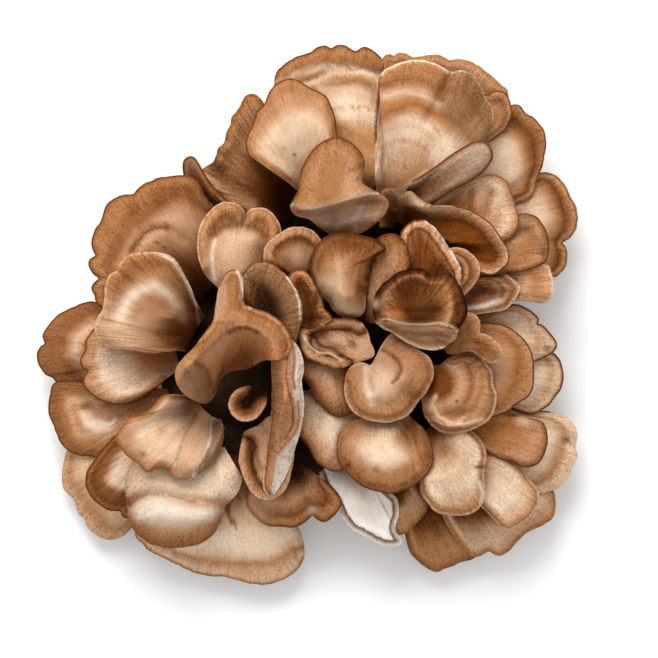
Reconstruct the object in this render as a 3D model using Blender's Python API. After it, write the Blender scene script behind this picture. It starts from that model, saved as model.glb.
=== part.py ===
"""Maitake mushroom (hen of the woods): one cut stem base and the fronds that grow from it.

The mushroom stands on its flat cut base. Lengths in the tables are in millimetres, and +Z is up.
Every frond is a thin, stalked cap. It is a loft of ribs that run from its root to its margin, and it
lies on the fronds named before it, so the table is in stacking order: the outer ring comes first
and the fronds at the crown come last.
"""

import math
from collections import namedtuple

import bmesh
import bpy
import numpy as np

# Driving dimensions, in millimetres.
MM = 0.001
GAP = 0.4                 # air between one piece and the next
STALK_WIDTH = 12.0        # a stalk's size across the frond
STALK_DEPTH = 7.0         # its size along the frond
STALK_THICKNESS = 6.0     # thickness of a frond at its root
MARGIN_THICKNESS = 2.6    # thickness of a frond at its margin
STEEPEST = 1.8            # the most that a slope thickens a frond, measured straight down
DROOP = 2.5               # how far every margin turns down at its very edge
ROWS = 4                  # rows of faces from root to margin
STATION = 12.0            # length of margin for each rib
FEWEST_RIBS, MOST_RIBS = 7, 13

FIELD_HALF_WIDTH = 150.0  # the height field covers this far to each side of the middle
FIELD_CELL = 2.0
SAMPLES = 9               # points along each side of a face where the fit of two fronds is tested
EASING_PASSES = 2         # how gently a frond eases over what lies under it

# The stem base: its widest outline as (angle in degrees, radius), and its profile as
# (share of that radius, height). It flares from the flat cut, then closes in a low dome.
BASE_OUTLINE = [(0, 74), (38, 84), (66, 82), (100, 64), (135, 58), (172, 64),
                (200, 80), (226, 90), (252, 82), (282, 78), (310, 88), (336, 82)]
BASE_PROFILE = [(0.62, 0.0), (0.70, 4.0), (0.84, 11.0), (0.96, 18.0), (1.0, 24.0), (0.96, 29.0),
                (0.80, 38.0), (0.56, 47.0), (0.28, 53.0)]
BASE_TOP = 55.0
BASE_SECTORS = 36

TONES = {
    "cream": (0.80, 0.66, 0.48),
    "tan": (0.48, 0.28, 0.13),
    "brown": (0.22, 0.12, 0.055),
    "grey": (0.30, 0.21, 0.15),
    "orange": (0.42, 0.19, 0.06),
    "flesh": (0.84, 0.78, 0.66),
}
ROUGHNESS = 0.7

# height: of the margin above the surface that the mushroom stands on
# bow:    how far the middle of the cap rises above (or dips below) a straight rise
# crest:  share of the way from root to margin where the margin starts to turn down or up
# root:   where the stalk starts; outline: the margin, from one side of the stalk to the other,
#         with a third number where the margin turns down (-) or up (+) past the crest
Frond = namedtuple("Frond", "name tone height bow crest root outline closed", defaults=[False])

FRONDS = [
    # Outer ring
    Frond("back_edge_frond", "tan", 36, 5, 0.6, (36, 66), [
        (30, 112), (36, 123), (38, 129), (41, 130.7), (43, 130), (46, 131.5), (50, 130.5),
        (53, 129), (58, 129.8), (63, 130.6), (67, 129.8), (70.5, 127.5), (74, 128), (79, 127.5),
        (83, 126), (88, 122.5), (93, 119), (97, 115), (99.5, 111), (98, 100), (90, 88)]),
    Frond("right_shoulder_frond", "cream", 30, 6, 0.6, (62, 40), [
        (104, 66), (114, 70.5), (119, 71.7), (123, 70.5), (127, 67), (130, 63), (131.5, 59),
        (134, 54), (135, 49), (134, 44), (131.5, 40), (127, 37), (129, 34), (129.5, 30), (129, 26),
        (126.5, 22), (124, 20), (119, 20), (106, 20), (90, 18)]),
    Frond("back_right_frond", "cream", 40, 5, 0.6, (52, 52), [
        (90, 98), (98, 103), (102, 105), (105, 105), (107.5, 102.5), (109.5, 100.5), (112, 99.5),
        (115, 96.5), (117.5, 93), (118.5, 88), (118.3, 84), (117.5, 79), (116.5, 74),
        (113.5, 67.5, -6), (113, 63, -8), (110.5, 59.5, -9), (107, 57.8, -9), (98, 56, -4),
        (85, 54)]),
    Frond("back_right_lobe", "orange", 48, 4, 0.6, (45, 58), [
        (80, 109), (86, 111.5), (90, 110), (94, 112), (99, 110), (101.5, 104), (101.5, 100),
        (100, 96.5), (98, 93), (95, 90.8), (90, 87)]),
    Frond("left_edge_frond", "tan", 26, 6, 0.6, (-70, -18), [
        (-98, 4), (-107, 6.5), (-111, 6.5), (-117, 4.5), (-124, 1), (-129, -4), (-132.5, -9),
        (-131.5, -14), (-134, -16), (-135.5, -20), (-134, -25), (-131, -29), (-127, -31),
        (-124, -36), (-120, -39.5), (-112, -41), (-102, -40)]),
    Frond("front_left_corner_frond", "cream", 16, 5, 0.6, (-62, -54), [
        (-110, -60), (-119, -65), (-122, -73), (-123, -80), (-122, -87), (-118, -92), (-116, -95),
        (-115, -99), (-112, -101.5), (-110, -106), (-105, -111), (-100, -112), (-95, -111),
        (-91, -108), (-86, -102), (-78, -90)]),
    Frond("left_lower_frond", "orange", 26, 5, 0.6, (-66, -40), [
        (-104, -34), (-118, -33), (-127, -34), (-129, -40), (-130, -45), (-129.5, -50), (-127, -56),
        (-124, -62), (-120, -67), (-115, -69.5), (-115, -69.5), (-109, -70), (-101, -70),
        (-92, -66), (-80, -56)]),
    Frond("front_wide_frond", "tan", 20, 8, 0.6, (-38, -66), [
        (-74, -96), (-86, -108), (-82, -115), (-76, -119), (-69, -123), (-61, -127), (-55, -129),
        (-47, -130), (-35, -132), (-30, -134), (-22, -134.5), (-15, -133), (-9, -130), (-4, -124),
        (-2.5, -118), (-3.5, -111), (-7, -104), (-16, -92)]),
    Frond("front_right_small_frond", "tan", 18, 5, 0.6, (44, -64), [
        (44, -84), (46, -96), (49, -108), (51.5, -118), (55, -122), (60, -126), (65, -128),
        (68, -127), (72, -125.5), (77, -123), (83, -121.5), (87, -118), (84, -106), (74, -92)]),
    Frond("front_right_frond", "cream", 24, 5, 0.6, (57, -57), [
        (64, -88), (68, -100), (73, -109), (79, -117), (84, -120), (91, -118), (94, -119.5),
        (97, -119.5), (101, -117), (105, -112), (110, -108), (116, -105), (121, -102), (123, -99),
        (123.5, -94), (122, -87), (112, -78)]),
    Frond("right_lower_frond", "tan", 28, 5, 0.6, (65, -42), [
        (90, -40), (104, -45), (113, -47.5), (121, -48.5), (127, -50), (132, -54), (134.5, -60),
        (134, -66), (134.5, -71), (131, -79), (126, -85), (120, -87.5), (114, -88), (106, -84),
        (94, -74)]),
    Frond("right_small_frond", "cream", 32, 4, 0.6, (68, -24), [
        (110, -12), (118, -16), (124, -20), (127, -25), (127.5, -31), (126, -36), (123, -41),
        (119, -45), (114, -48), (108, -48), (98, -44)]),
    Frond("right_middle_frond", "tan", 42, 5, 0.6, (64, -10), [
        (76, -1), (87, 1), (95, 3.5), (103, 5.5), (108, 4), (112, 1.5), (115, -1.5), (114.5, -4),
        (117, -5), (121, -9), (124, -13), (124, -16), (121, -19), (110, -24)]),
    # Second ring
    Frond("back_fan", "orange", 58, 8, 0.6, (22, 54), [
        (-12, 96), (-17, 108), (-16.5, 114), (-15.5, 120), (-12, 125), (-5, 128.5), (1, 130.5),
        (5, 133), (9, 134), (11.5, 132.6), (15, 134.5), (19, 134), (24, 131.5), (28, 133.2),
        (32, 132), (36, 129), (37.5, 125), (37, 119), (40, 108), (42, 92)]),
    Frond("back_left_dark_frond", "grey", 60, 5, 0.6, (-4, 50), [
        (-15, 96), (-22, 105.5), (-24.5, 108.5), (-27.5, 110.3), (-31, 109), (-35, 102.5),
        (-37.5, 99), (-38, 95), (-40, 91), (-41.5, 86), (-44.5, 83), (-45, 80), (-47, 76),
        (-53, 72, 3), (-51, 67, 5), (-46, 62, 6), (-42, 58, 6), (-36, 54, 5), (-30, 48, 3)]),
    Frond("left_dark_blade", "brown", 50, 4, 0.6, (-34, 38), [
        (-56, 58), (-61, 69), (-62, 74), (-61.5, 77.5), (-59.5, 79), (-57, 78.5), (-55, 76),
        (-51, 69), (-46, 62), (-38, 54)]),
    Frond("left_back_fan", "tan", 56, 7, 0.6, (-48, 10), [
        (-40, 36), (-45, 50), (-50, 57), (-53, 62), (-54, 65), (-57, 68), (-62, 69.5), (-68, 69),
        (-75, 68), (-80, 66), (-84, 63), (-86.5, 60), (-91, 60), (-95, 59), (-100, 55.5),
        (-103, 47.5), (-106, 43), (-107.5, 38), (-107, 33), (-105.5, 30), (-109, 28), (-109, 25),
        (-107, 21.5), (-104, 18.5), (-107, 15), (-106, 11), (-103, 5), (-88, -2)]),
    Frond("left_under_frond", "cream", 48, 4, 0.6, (-62, -20), [
        (-98, -2), (-106, -6), (-110, -11), (-110.5, -17), (-113, -22), (-112, -25.5),
        (-109.5, -27), (-111.5, -31), (-111, -35), (-108, -38.5), (-104, -41), (-98, -43.5),
        (-92, -43.5), (-86, -42), (-80, -38.5), (-72, -32)]),
    Frond("front_left_cup_frond", "brown", 40, 4, 0.6, (-60, -52), [
        (-94, -58), (-102, -66), (-107, -73), (-110, -78), (-111, -84), (-109, -89), (-105, -93),
        (-101, -96), (-97, -97), (-94, -97.5), (-93, -100), (-90.5, -101), (-87, -98), (-82, -92.5),
        (-74, -82)]),
    Frond("front_right_pale_frond", "cream", 46, 5, 0.6, (60, -54), [
        (96, -68), (102, -73), (107, -77), (110, -82), (114, -87), (114.5, -93), (112, -99),
        (107, -103), (100, -106.5), (95, -103), (90, -98), (80, -88)]),
    Frond("right_bright_frond", "orange", 52, 4, 0.6, (64, -44), [
        (80, -44), (92, -47), (104, -50), (110, -51.5), (115, -52.5), (118, -54.5), (119.5, -60),
        (118.5, -66), (116, -72), (112, -75), (107, -75), (102, -72.5), (96, -71), (86, -66)]),
    Frond("right_brown_frond", "brown", 60, 4, 0.6, (68, -22), [
        (78, -8), (85, -4), (92, -4), (100, -6), (106, -11), (110, -16), (112.5, -24), (112, -34),
        (109, -40), (103, -44), (100, -47), (95, -49), (90, -49), (80, -42)]),
    Frond("front_tan_frond", "tan", 42, 3, 0.6, (37, -68), [
        (50, -78), (57, -88), (59.5, -95), (57, -100), (52, -105), (48, -108.5), (43, -109),
        (37, -104), (34, -92)]),
    Frond("front_curled_frond", "flesh", 44, 4, 0.55, (22, -68), [
        (38, -86), (44, -92), (45, -99), (44, -104), (43.5, -108), (46.5, -112.5, -2),
        (43, -114.5, -3), (38, -114.5, -3), (33, -112.5, -3), (28, -109.5, -3), (22, -106, -3),
        (18, -101, -2), (16, -96, -2), (11, -90), (8, -84), (6, -78)]),
    Frond("front_dark_fan", "brown", 46, 4, 0.6, (-14, -70), [
        (-28, -80), (-30.5, -91), (-28, -98), (-22, -103), (-15, -105), (-7, -105), (-2, -103),
        (2, -99.5), (5, -101.5), (8.5, -102.5), (12, -100), (15, -96), (16, -91), (8, -82)]),
    # Third ring
    Frond("back_left_pale_frond", "cream", 74, 4, 0.6, (1, 62), [
        (-10, 67), (-16, 71), (-22, 75), (-28.5, 79.5), (-30.5, 85), (-29.5, 90), (-27, 95),
        (-25, 101), (-21.5, 105), (-19.5, 110), (-16.5, 114), (-13, 116.5), (-9, 117.5),
        (-5, 116.5), (0, 113.5), (5, 111), (9, 108.5), (11, 104.5), (13, 99), (14, 92), (15, 84)]),
    Frond("back_right_fan", "tan", 72, 6, 0.6, (44, 52), [
        (33, 78), (35, 88), (36, 97), (36.5, 105), (36, 112), (35.5, 117), (37, 120.5), (41, 123.5),
        (48, 126), (55, 126.7), (62, 125.5), (67, 123), (70.5, 121), (74, 121.5), (79, 121),
        (83, 118), (86, 113.5), (88, 108), (91, 103), (91.5, 99), (91, 95), (89, 91), (85, 86),
        (76, 78)]),
    Frond("right_curl_low", "cream", 58, 3, 0.6, (60, 14), [
        (80, 22), (97, 24), (104, 23.5), (111, 25), (119, 25), (121.5, 20), (122, 14), (121, 9),
        (117, 7), (112, 7.5), (106, 8), (98, 8), (80, 6)]),
    Frond("right_swirl_curl", "cream", 66, 3, 0.6, (58, 10), [
        (78, 20), (86, 21), (92, 21.5), (98, 20.5), (102, 17.5), (105, 14), (103, 9), (99.5, 4.5),
        (95, 3), (88, 2), (78, 0)]),
    Frond("right_low_lip", "orange", 58, 3, 0.6, (62, 30), [
        (84, 42), (96, 46.5), (104, 50), (110, 50.5), (115, 48), (118, 42), (119.5, 35), (118, 28),
        (113, 24.5), (106, 22.5), (97, 22), (82, 20)]),
    Frond("right_bumpy_frond", "orange", 62, 5, 0.6, (56, 46), [
        (64, 58), (70, 61), (76, 64.5), (84, 68), (90, 70), (95, 69.5), (99, 67), (101, 62),
        (103, 56), (104, 49), (103, 43), (98, 38), (86, 36)]),
    Frond("left_middle_fan", "tan", 68, 6, 0.6, (-54, -10), [
        (-56, 6), (-59, 14), (-62, 20), (-66, 27), (-71, 30.5), (-77, 31.5), (-83, 31), (-89, 30),
        (-92.5, 27), (-95, 22.5), (-99, 20), (-100.5, 15), (-101, 8), (-102, 3), (-105, -2),
        (-106, -6), (-105, -10), (-102, -13), (-97, -15.5), (-90, -16), (-83, -17), (-76, -18),
        (-66, -17)]),
    Frond("front_left_curled_frond", "flesh", 56, 6, 0.62, (-54, -60), [
        (-84, -70), (-90, -78), (-90, -90, -3), (-89, -102, -8), (-84, -110, -12), (-78, -114, -14),
        (-70, -115.5, -14), (-62, -115, -14), (-54, -113, -14), (-48, -109, -12), (-44.5, -103, -8),
        (-42, -95, -3), (-36, -88), (-33, -80)]),
    Frond("left_bright_frond", "tan", 70, 5, 0.6, (-50, -44), [
        (-60, -40), (-71, -40), (-76, -45), (-81, -49), (-88, -51), (-92, -55), (-95, -60),
        (-93, -65), (-89, -70), (-84, -73), (-80, -77.5), (-76, -75.5), (-71, -75.5), (-66, -80),
        (-62, -81), (-57, -79.5), (-49, -74, -2), (-45, -68, -4), (-43, -62, -4), (-42, -55, -2)]),
    Frond("front_right_ridge_frond", "tan", 60, 7, 0.55, (58, -54), [
        (56, -80), (57, -88), (60, -92.5), (64, -97), (70, -99), (77, -98.5), (83, -97),
        (86.5, -93), (88, -88), (87.5, -82), (88, -75), (88.5, -68), (86, -62), (80, -56)]),
    Frond("front_middle_frond", "cream", 60, 4, 0.6, (8, -58), [
        (-7, -40, -4), (-8, -48), (-7, -56), (-3, -61), (1, -66), (4, -71), (8, -75), (13, -77),
        (18, -76), (22, -71), (26, -60), (27, -50), (20, -42, -4), (6, -37, -6)], True),
    Frond("right_striped_frond", "cream", 70, 6, 0.6, (76, -38), [
        (61, -26), (66, -25), (70, -22), (75, -19.5), (80, -18.5), (85, -20), (88, -23),
        (90.5, -28), (92, -34), (93.5, -40), (92.5, -46), (90, -51), (86, -54), (80, -56.5, -3),
        (73, -58, -3), (67, -57.5, -3), (62, -54.5, -3), (58.5, -49), (57.5, -42), (58.5, -33)], True),
    # Inner fronds
    Frond("back_fold_lobe", "grey", 80, 4, 0.6, (48, 58), [
        (52, 67), (58, 70), (64, 74), (70, 78.5), (76, 82.5), (82, 85.5), (87, 86), (90.5, 84),
        (91.5, 80.5), (90, 76), (87, 72), (83, 69), (78, 66), (72, 63), (62, 56)]),
    Frond("right_folded_frond", "brown", 74, -6, 0.5, (48, 38), [
        (36, 44, 2), (35, 52, 5), (37, 61, 8), (42, 62.5, 7), (46, 60, 4), (51, 61.5, 8),
        (55, 58, 7), (62, 54.5, 6), (70, 54.5, 6), (78, 53, 6), (85, 50, 6), (91, 45, 5),
        (96, 38, 4), (99.5, 31, 3), (98.5, 26, 4), (92, 21, 5), (86, 22, 5), (80, 24, 5),
        (72, 22, 3), (60, 24)]),
    Frond("right_curl_high", "tan", 78, 3, 0.6, (62, 20), [
        (68, 31), (72, 33.5), (77, 33), (81, 30.5), (84, 27), (85, 22), (83, 17), (79.5, 12.5),
        (74, 9), (68, 8)]),
    Frond("front_kidney_cap", "tan", 68, 7, 0.6, (38, -68), [
        (39, -50, -5), (47, -49, -5), (53, -53, -2), (58, -58), (61.5, -64), (62, -71), (60, -77),
        (55, -82), (48, -86), (41, -88), (33, -86.5), (26, -83), (20, -78), (16, -72), (14.5, -66),
        (15.5, -60), (19, -55.5), (24, -52.5), (31, -51)], True),
    Frond("centre_front_frond", "tan", 68, 4, 0.6, (11, -34), [
        (-6, -18, -6), (6, -18, -8), (18, -20, -4), (22, -26), (21, -32), (20, -38), (22, -43),
        (22, -47.5), (17, -49.5), (12, -48.5), (8, -45), (4, -39), (0, -33), (-6, -27)], True),
    Frond("left_notched_cap", "cream", 76, 5, 0.6, (-36, 34), [
        (-46, 16, -4), (-51, 22), (-53.5, 28), (-54.5, 35), (-54, 42), (-52, 47), (-48, 52),
        (-44, 55), (-40, 56), (-35, 55), (-32.5, 52.5), (-31, 49), (-28.5, 52.5), (-22, 53),
        (-18, 50), (-14.5, 45), (-14, 39), (-16, 31, -4), (-20, 22, -10), (-28, 14, -14),
        (-38, 10, -12)], True),
    Frond("centre_left_cap", "tan", 80, 5, 0.6, (-8, 31), [
        (-15, 20, -8), (-21, 26), (-21.5, 32), (-19, 36), (-14, 40.5), (-8, 43.5), (-3, 43.5),
        (2, 42), (5.5, 38), (8, 32), (9, 24, -6), (4, 16, -10), (-6, 14, -12)], True),
    Frond("front_left_rolled_frond", "brown", 60, -2, 0.6, (-23, -73), [
        (-25, -55, 3), (-31, -58, 3), (-33, -66, 3), (-33.5, -74, 3), (-31, -82, 3), (-27, -88, 3),
        (-21, -91, 2), (-13, -88), (-9, -80), (-8, -68), (-11, -56), (-18, -50, 2)], True),
    Frond("left_small_cup", "brown", 66, -2, 0.4, (-30, -44), [
        (-39, -46, 6), (-38, -40, 6), (-34, -36.5, 6), (-28, -35.5, 6), (-23, -36, 6),
        (-20.5, -40, 6), (-21.5, -45, 6), (-25, -50, 6), (-31, -52, 6), (-36, -50.5, 6)], True),
    # Crown
    Frond("crown_front_lip_frond", "tan", 86, 2, 0.45, (14, 64), [
        (27, 65, 2), (27, 71, 4), (27.5, 77, 5), (25.5, 81, 5), (22, 84.5, 5), (18, 87, 5),
        (13, 88, 5), (7, 85.5, 5), (2.5, 81.5, 5), (-1, 76, 4), (-3, 70, 3), (-4.5, 62),
        (-8, 55, -3), (-6, 50.5, -8), (1, 48.5, -14), (6, 44.5, -15), (12, 41, -16),
        (17, 40.3, -16), (23, 41, -16), (28, 42.5, -15), (32, 45, -14), (36, 48.5, -11),
        (39, 53, -6), (38.5, 58, -2)], True),
    Frond("crown_streaked_frond", "brown", 84, 3, 0.6, (57, 30), [
        (43, 16, -6), (43, 28), (45, 34), (46, 39), (48, 43), (52, 46.5), (57, 47), (61, 45),
        (65, 40.5), (69, 35), (72, 30), (75, 24), (76, 18), (72, 10, -4), (60, 6, -8),
        (49, 8, -8)], True),
    Frond("crown_side_lobe", "brown", 80, 3, 0.6, (37, 21), [
        (24, 2, -14), (24, 12, -8), (26, 22, -4), (29, 30), (33, 36), (38, 39.5), (43, 40),
        (48, 36), (50, 28), (49, 18), (46, 8, -4), (40, 0, -10), (32, -3, -14)], True),
    Frond("crown_round_cap", "tan", 90, 6, 0.55, (18, 23), [
        (11, 7, -10), (7, 10, -6), (4.5, 14), (2.5, 19), (1.5, 25, -2), (3, 31, -3), (6, 36, -4),
        (10, 39, -4), (16, 40.3, -4), (22, 40, -4), (28, 39, -4), (33, 37.5, -3), (37, 35, -2),
        (38, 33), (33, 29.5), (30.5, 26), (29.5, 20), (28.5, 12, -4), (27, 2, -12),
        (20, -1, -14), (14, 2, -12)], True),
    Frond("crown_rolled_frond", "brown", 78, -3, 0.5, (15, -13), [
        (33, -19, 2), (27, -22, 3), (20, -24.5, 4), (12, -25.5, 4), (4, -23, 4), (-2, -19, 4),
        (-4, -14, 4), (-4, -8, 4), (0, -5, 4), (6, -2.5, 4), (14, -1.5, 4), (21, -1, 4),
        (26, -3.5, 2), (29, -8), (31, -14)], True),
    Frond("crown_kidney_cap", "cream", 80, 8, 0.55, (40, -33), [
        (42, -9), (46, -12), (51, -15), (56, -18), (60, -21), (62, -26), (61.5, -31), (59, -36),
        (56, -41), (52, -46), (47, -50), (40, -52.5), (33, -52), (27, -50), (22, -46), (19.5, -41),
        (19, -35), (20, -29), (23, -25), (27, -23.5), (31, -25), (34, -21), (37, -15)], True),
    Frond("right_small_lobes", "tan", 78, 3, 0.6, (80, -11), [
        (68, -8, -6), (72, -2), (77, 1), (82, 0.5), (85, -3), (85, -8.5), (89, -10), (93, -13),
        (96, -17), (95.5, -21), (91, -23), (86, -20), (80, -17), (70, -18, -6)], True),
    Frond("crown_small_ear", "cream", 86, 3, 0.6, (-1, 11), [
        (-8, 2, -6), (-10, 10), (-10, 17), (-7, 21), (-3, 22), (0, 20.5), (3, 16), (6, 10),
        (7.5, 4), (12, -2, -6), (6, -5, -10), (-2, -5, -10)], True),
    Frond("crown_left_dark_frond", "brown", 86, 5, 0.55, (-17, 9), [
        (-35, 2, -10), (-33.5, 12), (-32, 19), (-28, 25), (-22, 27), (-16, 24.5), (-11, 19.5),
        (-7, 14.5), (-4, 8.5), (-3, 2), (-4, -4), (-6, -12), (-10, -17, -6), (-18, -12, -14),
        (-28, -6, -16)], True),
    Frond("left_long_wall", "flesh", 90, 2, 0.1, (-11, -38), [
        (-12.5, -12), (-8, -12, -3), (-4, -18, -8), (-2.5, -26, -10), (-4, -33, -8),
        (-3, -40, -10), (-2.8, -47, -12), (-4, -56, -16), (-7, -66, -24), (-10, -76, -30),
        (-14, -84, -32), (-19, -90, -32), (-22, -84, -34), (-21, -74, -34), (-20, -64, -30),
        (-18.5, -54, -26), (-17.5, -44, -24), (-17, -34, -22), (-17.5, -26, -16),
        (-17, -17, -8)], True),
    Frond("left_twisted_frond", "tan", 94, 2, 0.3, (-37, -3), [
        (-33, 20, 4), (-36.5, 22.5, 4), (-40, 21, 4), (-43, 15, 2), (-45, 6), (-46, -2, -2),
        (-50, -8, -2), (-56, -16, -5), (-61, -21, -9), (-65, -27, -15), (-64, -34, -20),
        (-59, -40, -24), (-52, -43, -28), (-47, -39, -32), (-44, -31, -36), (-38, -27, -38),
        (-30, -26, -38), (-22, -21.5, -30), (-17.5, -21.5, -6), (-13, -21, -3), (-9, -17, -2),
        (-9, -11), (-13, -4), (-20, 1), (-28, 3.5), (-32, 6), (-32.5, 13, 3)], True),
    Frond("crown_centre_disc", "brown", 98, -5, 0.5, (54, 6), [
        (32.5, 3), (33.5, 9), (37, 14.5), (42, 19), (47, 22), (52, 23), (57, 22), (61, 19.5),
        (66, 20.8), (70, 20.5), (73, 18), (76, 13), (78, 8), (78.5, 3), (77, -2), (74.5, -7, -4),
        (72, -12.5, -9), (67, -15.5, -12), (61, -16.5, -13), (56, -15.5, -13), (50, -12.5, -12),
        (44, -9.5, -10), (38.5, -6.5, -6), (34.5, -3, -2)], True),
]


class HeightField:
    """Height of the highest thing so far, over a square grid of cells."""

    def __init__(self):
        cells = int(2 * FIELD_HALF_WIDTH / FIELD_CELL)
        self.top = np.zeros((cells, cells))

    def cell(self, points):
        index = ((points[..., :2] + FIELD_HALF_WIDTH) / FIELD_CELL).astype(int)
        return index[..., 0], index[..., 1]

    def height(self, points):
        return self.top[self.cell(points)]

    def highest_near(self, spot, radius):
        x, y = self.cell(np.array(spot, dtype=float))
        reach = round(radius / FIELD_CELL)
        return self.top[x - reach:x + reach + 1, y - reach:y + reach + 1].max()

    def add(self, points):
        """Raises the field to these points, and to one cell all round them."""
        raised = np.zeros_like(self.top)
        np.maximum.at(raised, self.cell(points), points[..., 2])
        padded = np.pad(raised, 1)
        size = len(raised)
        for i in range(3):
            for j in range(3):
                self.top = np.maximum(self.top, padded[i:i + size, j:j + size])


def barycentric_weights(steps):
    """Weights of evenly spread points on a triangle."""
    return np.array([(i, j, steps - i - j) for i in range(steps + 1) for j in range(steps + 1 - i)]) / steps


WEIGHTS = barycentric_weights(SAMPLES)


def smooth_curve(points, count, closed):
    """count + 1 points, evenly spread along a smooth curve through the points given."""
    points = np.array([tuple(p) + (0,) * (3 - len(p)) for p in points], dtype=float)
    if closed:
        before, after, ends = points[-1], points[:2], np.vstack([points, points[:1]])
    else:
        before, after = 2 * points[0] - points[1], [2 * points[-1] - points[-2]]
        ends = points
    knots = np.vstack([before, points, after])
    share = np.linspace(0, 1, 12, endpoint=False)[:, None]
    curve = []
    for a, b, c, d in zip(knots, knots[1:], knots[2:], knots[3:]):
        curve.append(0.5 * (2 * b + (c - a) * share + (2 * a - 5 * b + 4 * c - d) * share ** 2
                            + (3 * b - a - 3 * c + d) * share ** 3))
    curve = np.vstack(curve + [ends[-1:]])
    run = np.concatenate([[0], np.cumsum(np.linalg.norm(np.diff(curve[:, :2], axis=0), axis=1))])
    even = np.linspace(0, run[-1], count + 1)
    return np.stack([np.interp(even, run, curve[:, k]) for k in range(3)], axis=1)


def anticlockwise(frond):
    """The frond's outline, turned if need be so that it runs anticlockwise round the root."""
    arms = np.array([p[:2] for p in frond.outline]) - frond.root
    turn = np.sum(arms[:-1, 0] * arms[1:, 1] - arms[:-1, 1] * arms[1:, 0])
    return frond.outline if turn > 0 else frond.outline[::-1]


def rib_count(frond):
    steps = np.diff(np.array([p[:2] for p in frond.outline]), axis=0)
    ribs = round(np.linalg.norm(steps, axis=1).sum() / STATION)
    return min(max(ribs, FEWEST_RIBS), MOST_RIBS)


def root_points(frond, margin):
    """Where each rib starts: on the oval outline of the stalk, on the rib's own side of it."""
    away = margin[:, :2] - frond.root
    away = away / np.linalg.norm(away, axis=1)[:, None]
    axis = away.mean(axis=0)
    axis = axis / max(np.linalg.norm(axis), 0.01)
    across = np.array([-axis[1], axis[0]])
    if frond.closed:
        return frond.root + away * STALK_DEPTH / 2
    side = (away @ across)[:, None] * across * STALK_WIDTH / 2
    front = (away @ axis)[:, None] * axis * STALK_DEPTH / 2
    return frond.root + side + front


def frond_surface(frond, ground, rows, ribs):
    """Upper face of a frond before it is laid down, as a grid of points: rows by ribs."""
    margin = smooth_curve(anticlockwise(frond), ribs, frond.closed)
    roots = root_points(frond, margin)
    u = np.linspace(0, 1, rows + 1)[:, None]
    plan = roots + (margin[:, :2] - roots) * u[..., None]
    turn = margin[:, 2] * np.clip((u - frond.crest) / (1 - frond.crest), 0, 1) ** 1.3
    if frond.closed:
        rise = frond.height + frond.bow * np.cos(u * math.pi / 2)
    else:
        start = ground + GAP + STALK_THICKNESS
        ramp = np.sin(u * math.pi / 2) if frond.height > start else 1 - np.cos(u * math.pi / 2)
        rise = start + (frond.height - start) * ramp + frond.bow * np.sin(u * math.pi)
    return np.dstack([plan, rise + turn - DROOP * u ** 6])


def thickness(surface):
    """Thickness of a frond straight down, greater at the stalk and where the frond is steep."""
    u = np.linspace(0, 1, len(surface))[:, None]
    flat = MARGIN_THICKNESS + (STALK_THICKNESS - MARGIN_THICKNESS) * (1 - u) ** 2
    step = np.diff(surface, axis=0)
    slope = np.abs(step[..., 2]) / np.maximum(np.linalg.norm(step[..., :2], axis=2), 0.5)
    slope = np.vstack([slope, slope[-1:]])
    return flat * np.minimum(np.sqrt(1 + slope ** 2), STEEPEST)


def grid_triangles(rows, ribs):
    """Triangles of a grid as indices, anticlockwise where ribs turn anticlockwise."""
    triangles = []
    for i in range(rows):
        for j in range(ribs):
            a = i * (ribs + 1) + j
            b = a + ribs + 1
            triangles += [(a, b, b + 1), (a, b + 1, a + 1)]
    return np.array(triangles)


def ease(lift):
    """Spreads a lift over a frond's grid without lowering it anywhere."""
    for _ in range(EASING_PASSES):
        padded = np.pad(lift, 1, mode="edge")
        around = (padded[:-2, 1:-1] + padded[2:, 1:-1] + padded[1:-1, :-2] + padded[1:-1, 2:]) / 4
        lift = np.maximum(lift, around)
    return lift


def lay(frond, field):
    """Lays a frond on what is already there, and returns its upper and lower faces."""
    ribs = rib_count(frond)
    ground = field.highest_near(frond.root, STALK_WIDTH / 2)
    upper = frond_surface(frond, ground, ROWS, ribs)
    depth = thickness(upper)
    triangles = grid_triangles(ROWS, ribs)
    lower = np.dstack([upper[..., :2], upper[..., 2] - depth]).reshape(-1, 3)
    tested = np.einsum("sk,tkc->tsc", WEIGHTS, lower[triangles])
    short = (field.height(tested) + GAP - tested[..., 2]).max(axis=1)
    lift = np.zeros(len(lower))
    for corner in range(3):
        np.maximum.at(lift, triangles[:, corner], short)
    lift = ease(lift.reshape(ROWS + 1, ribs + 1))
    if frond.closed:
        lift[:, 0] = lift[:, -1] = np.maximum(lift[:, 0], lift[:, -1])
        lift[0] = lift[0].max()
    upper[..., 2] += lift
    if frond.closed:
        depth[0] = upper[0, :, 2].min() - ground - GAP
    lower = np.dstack([upper[..., :2], upper[..., 2] - depth])
    field.add(np.einsum("sk,tkc->tsc", WEIGHTS, upper.reshape(-1, 3)[triangles]))
    return upper, lower


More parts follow.
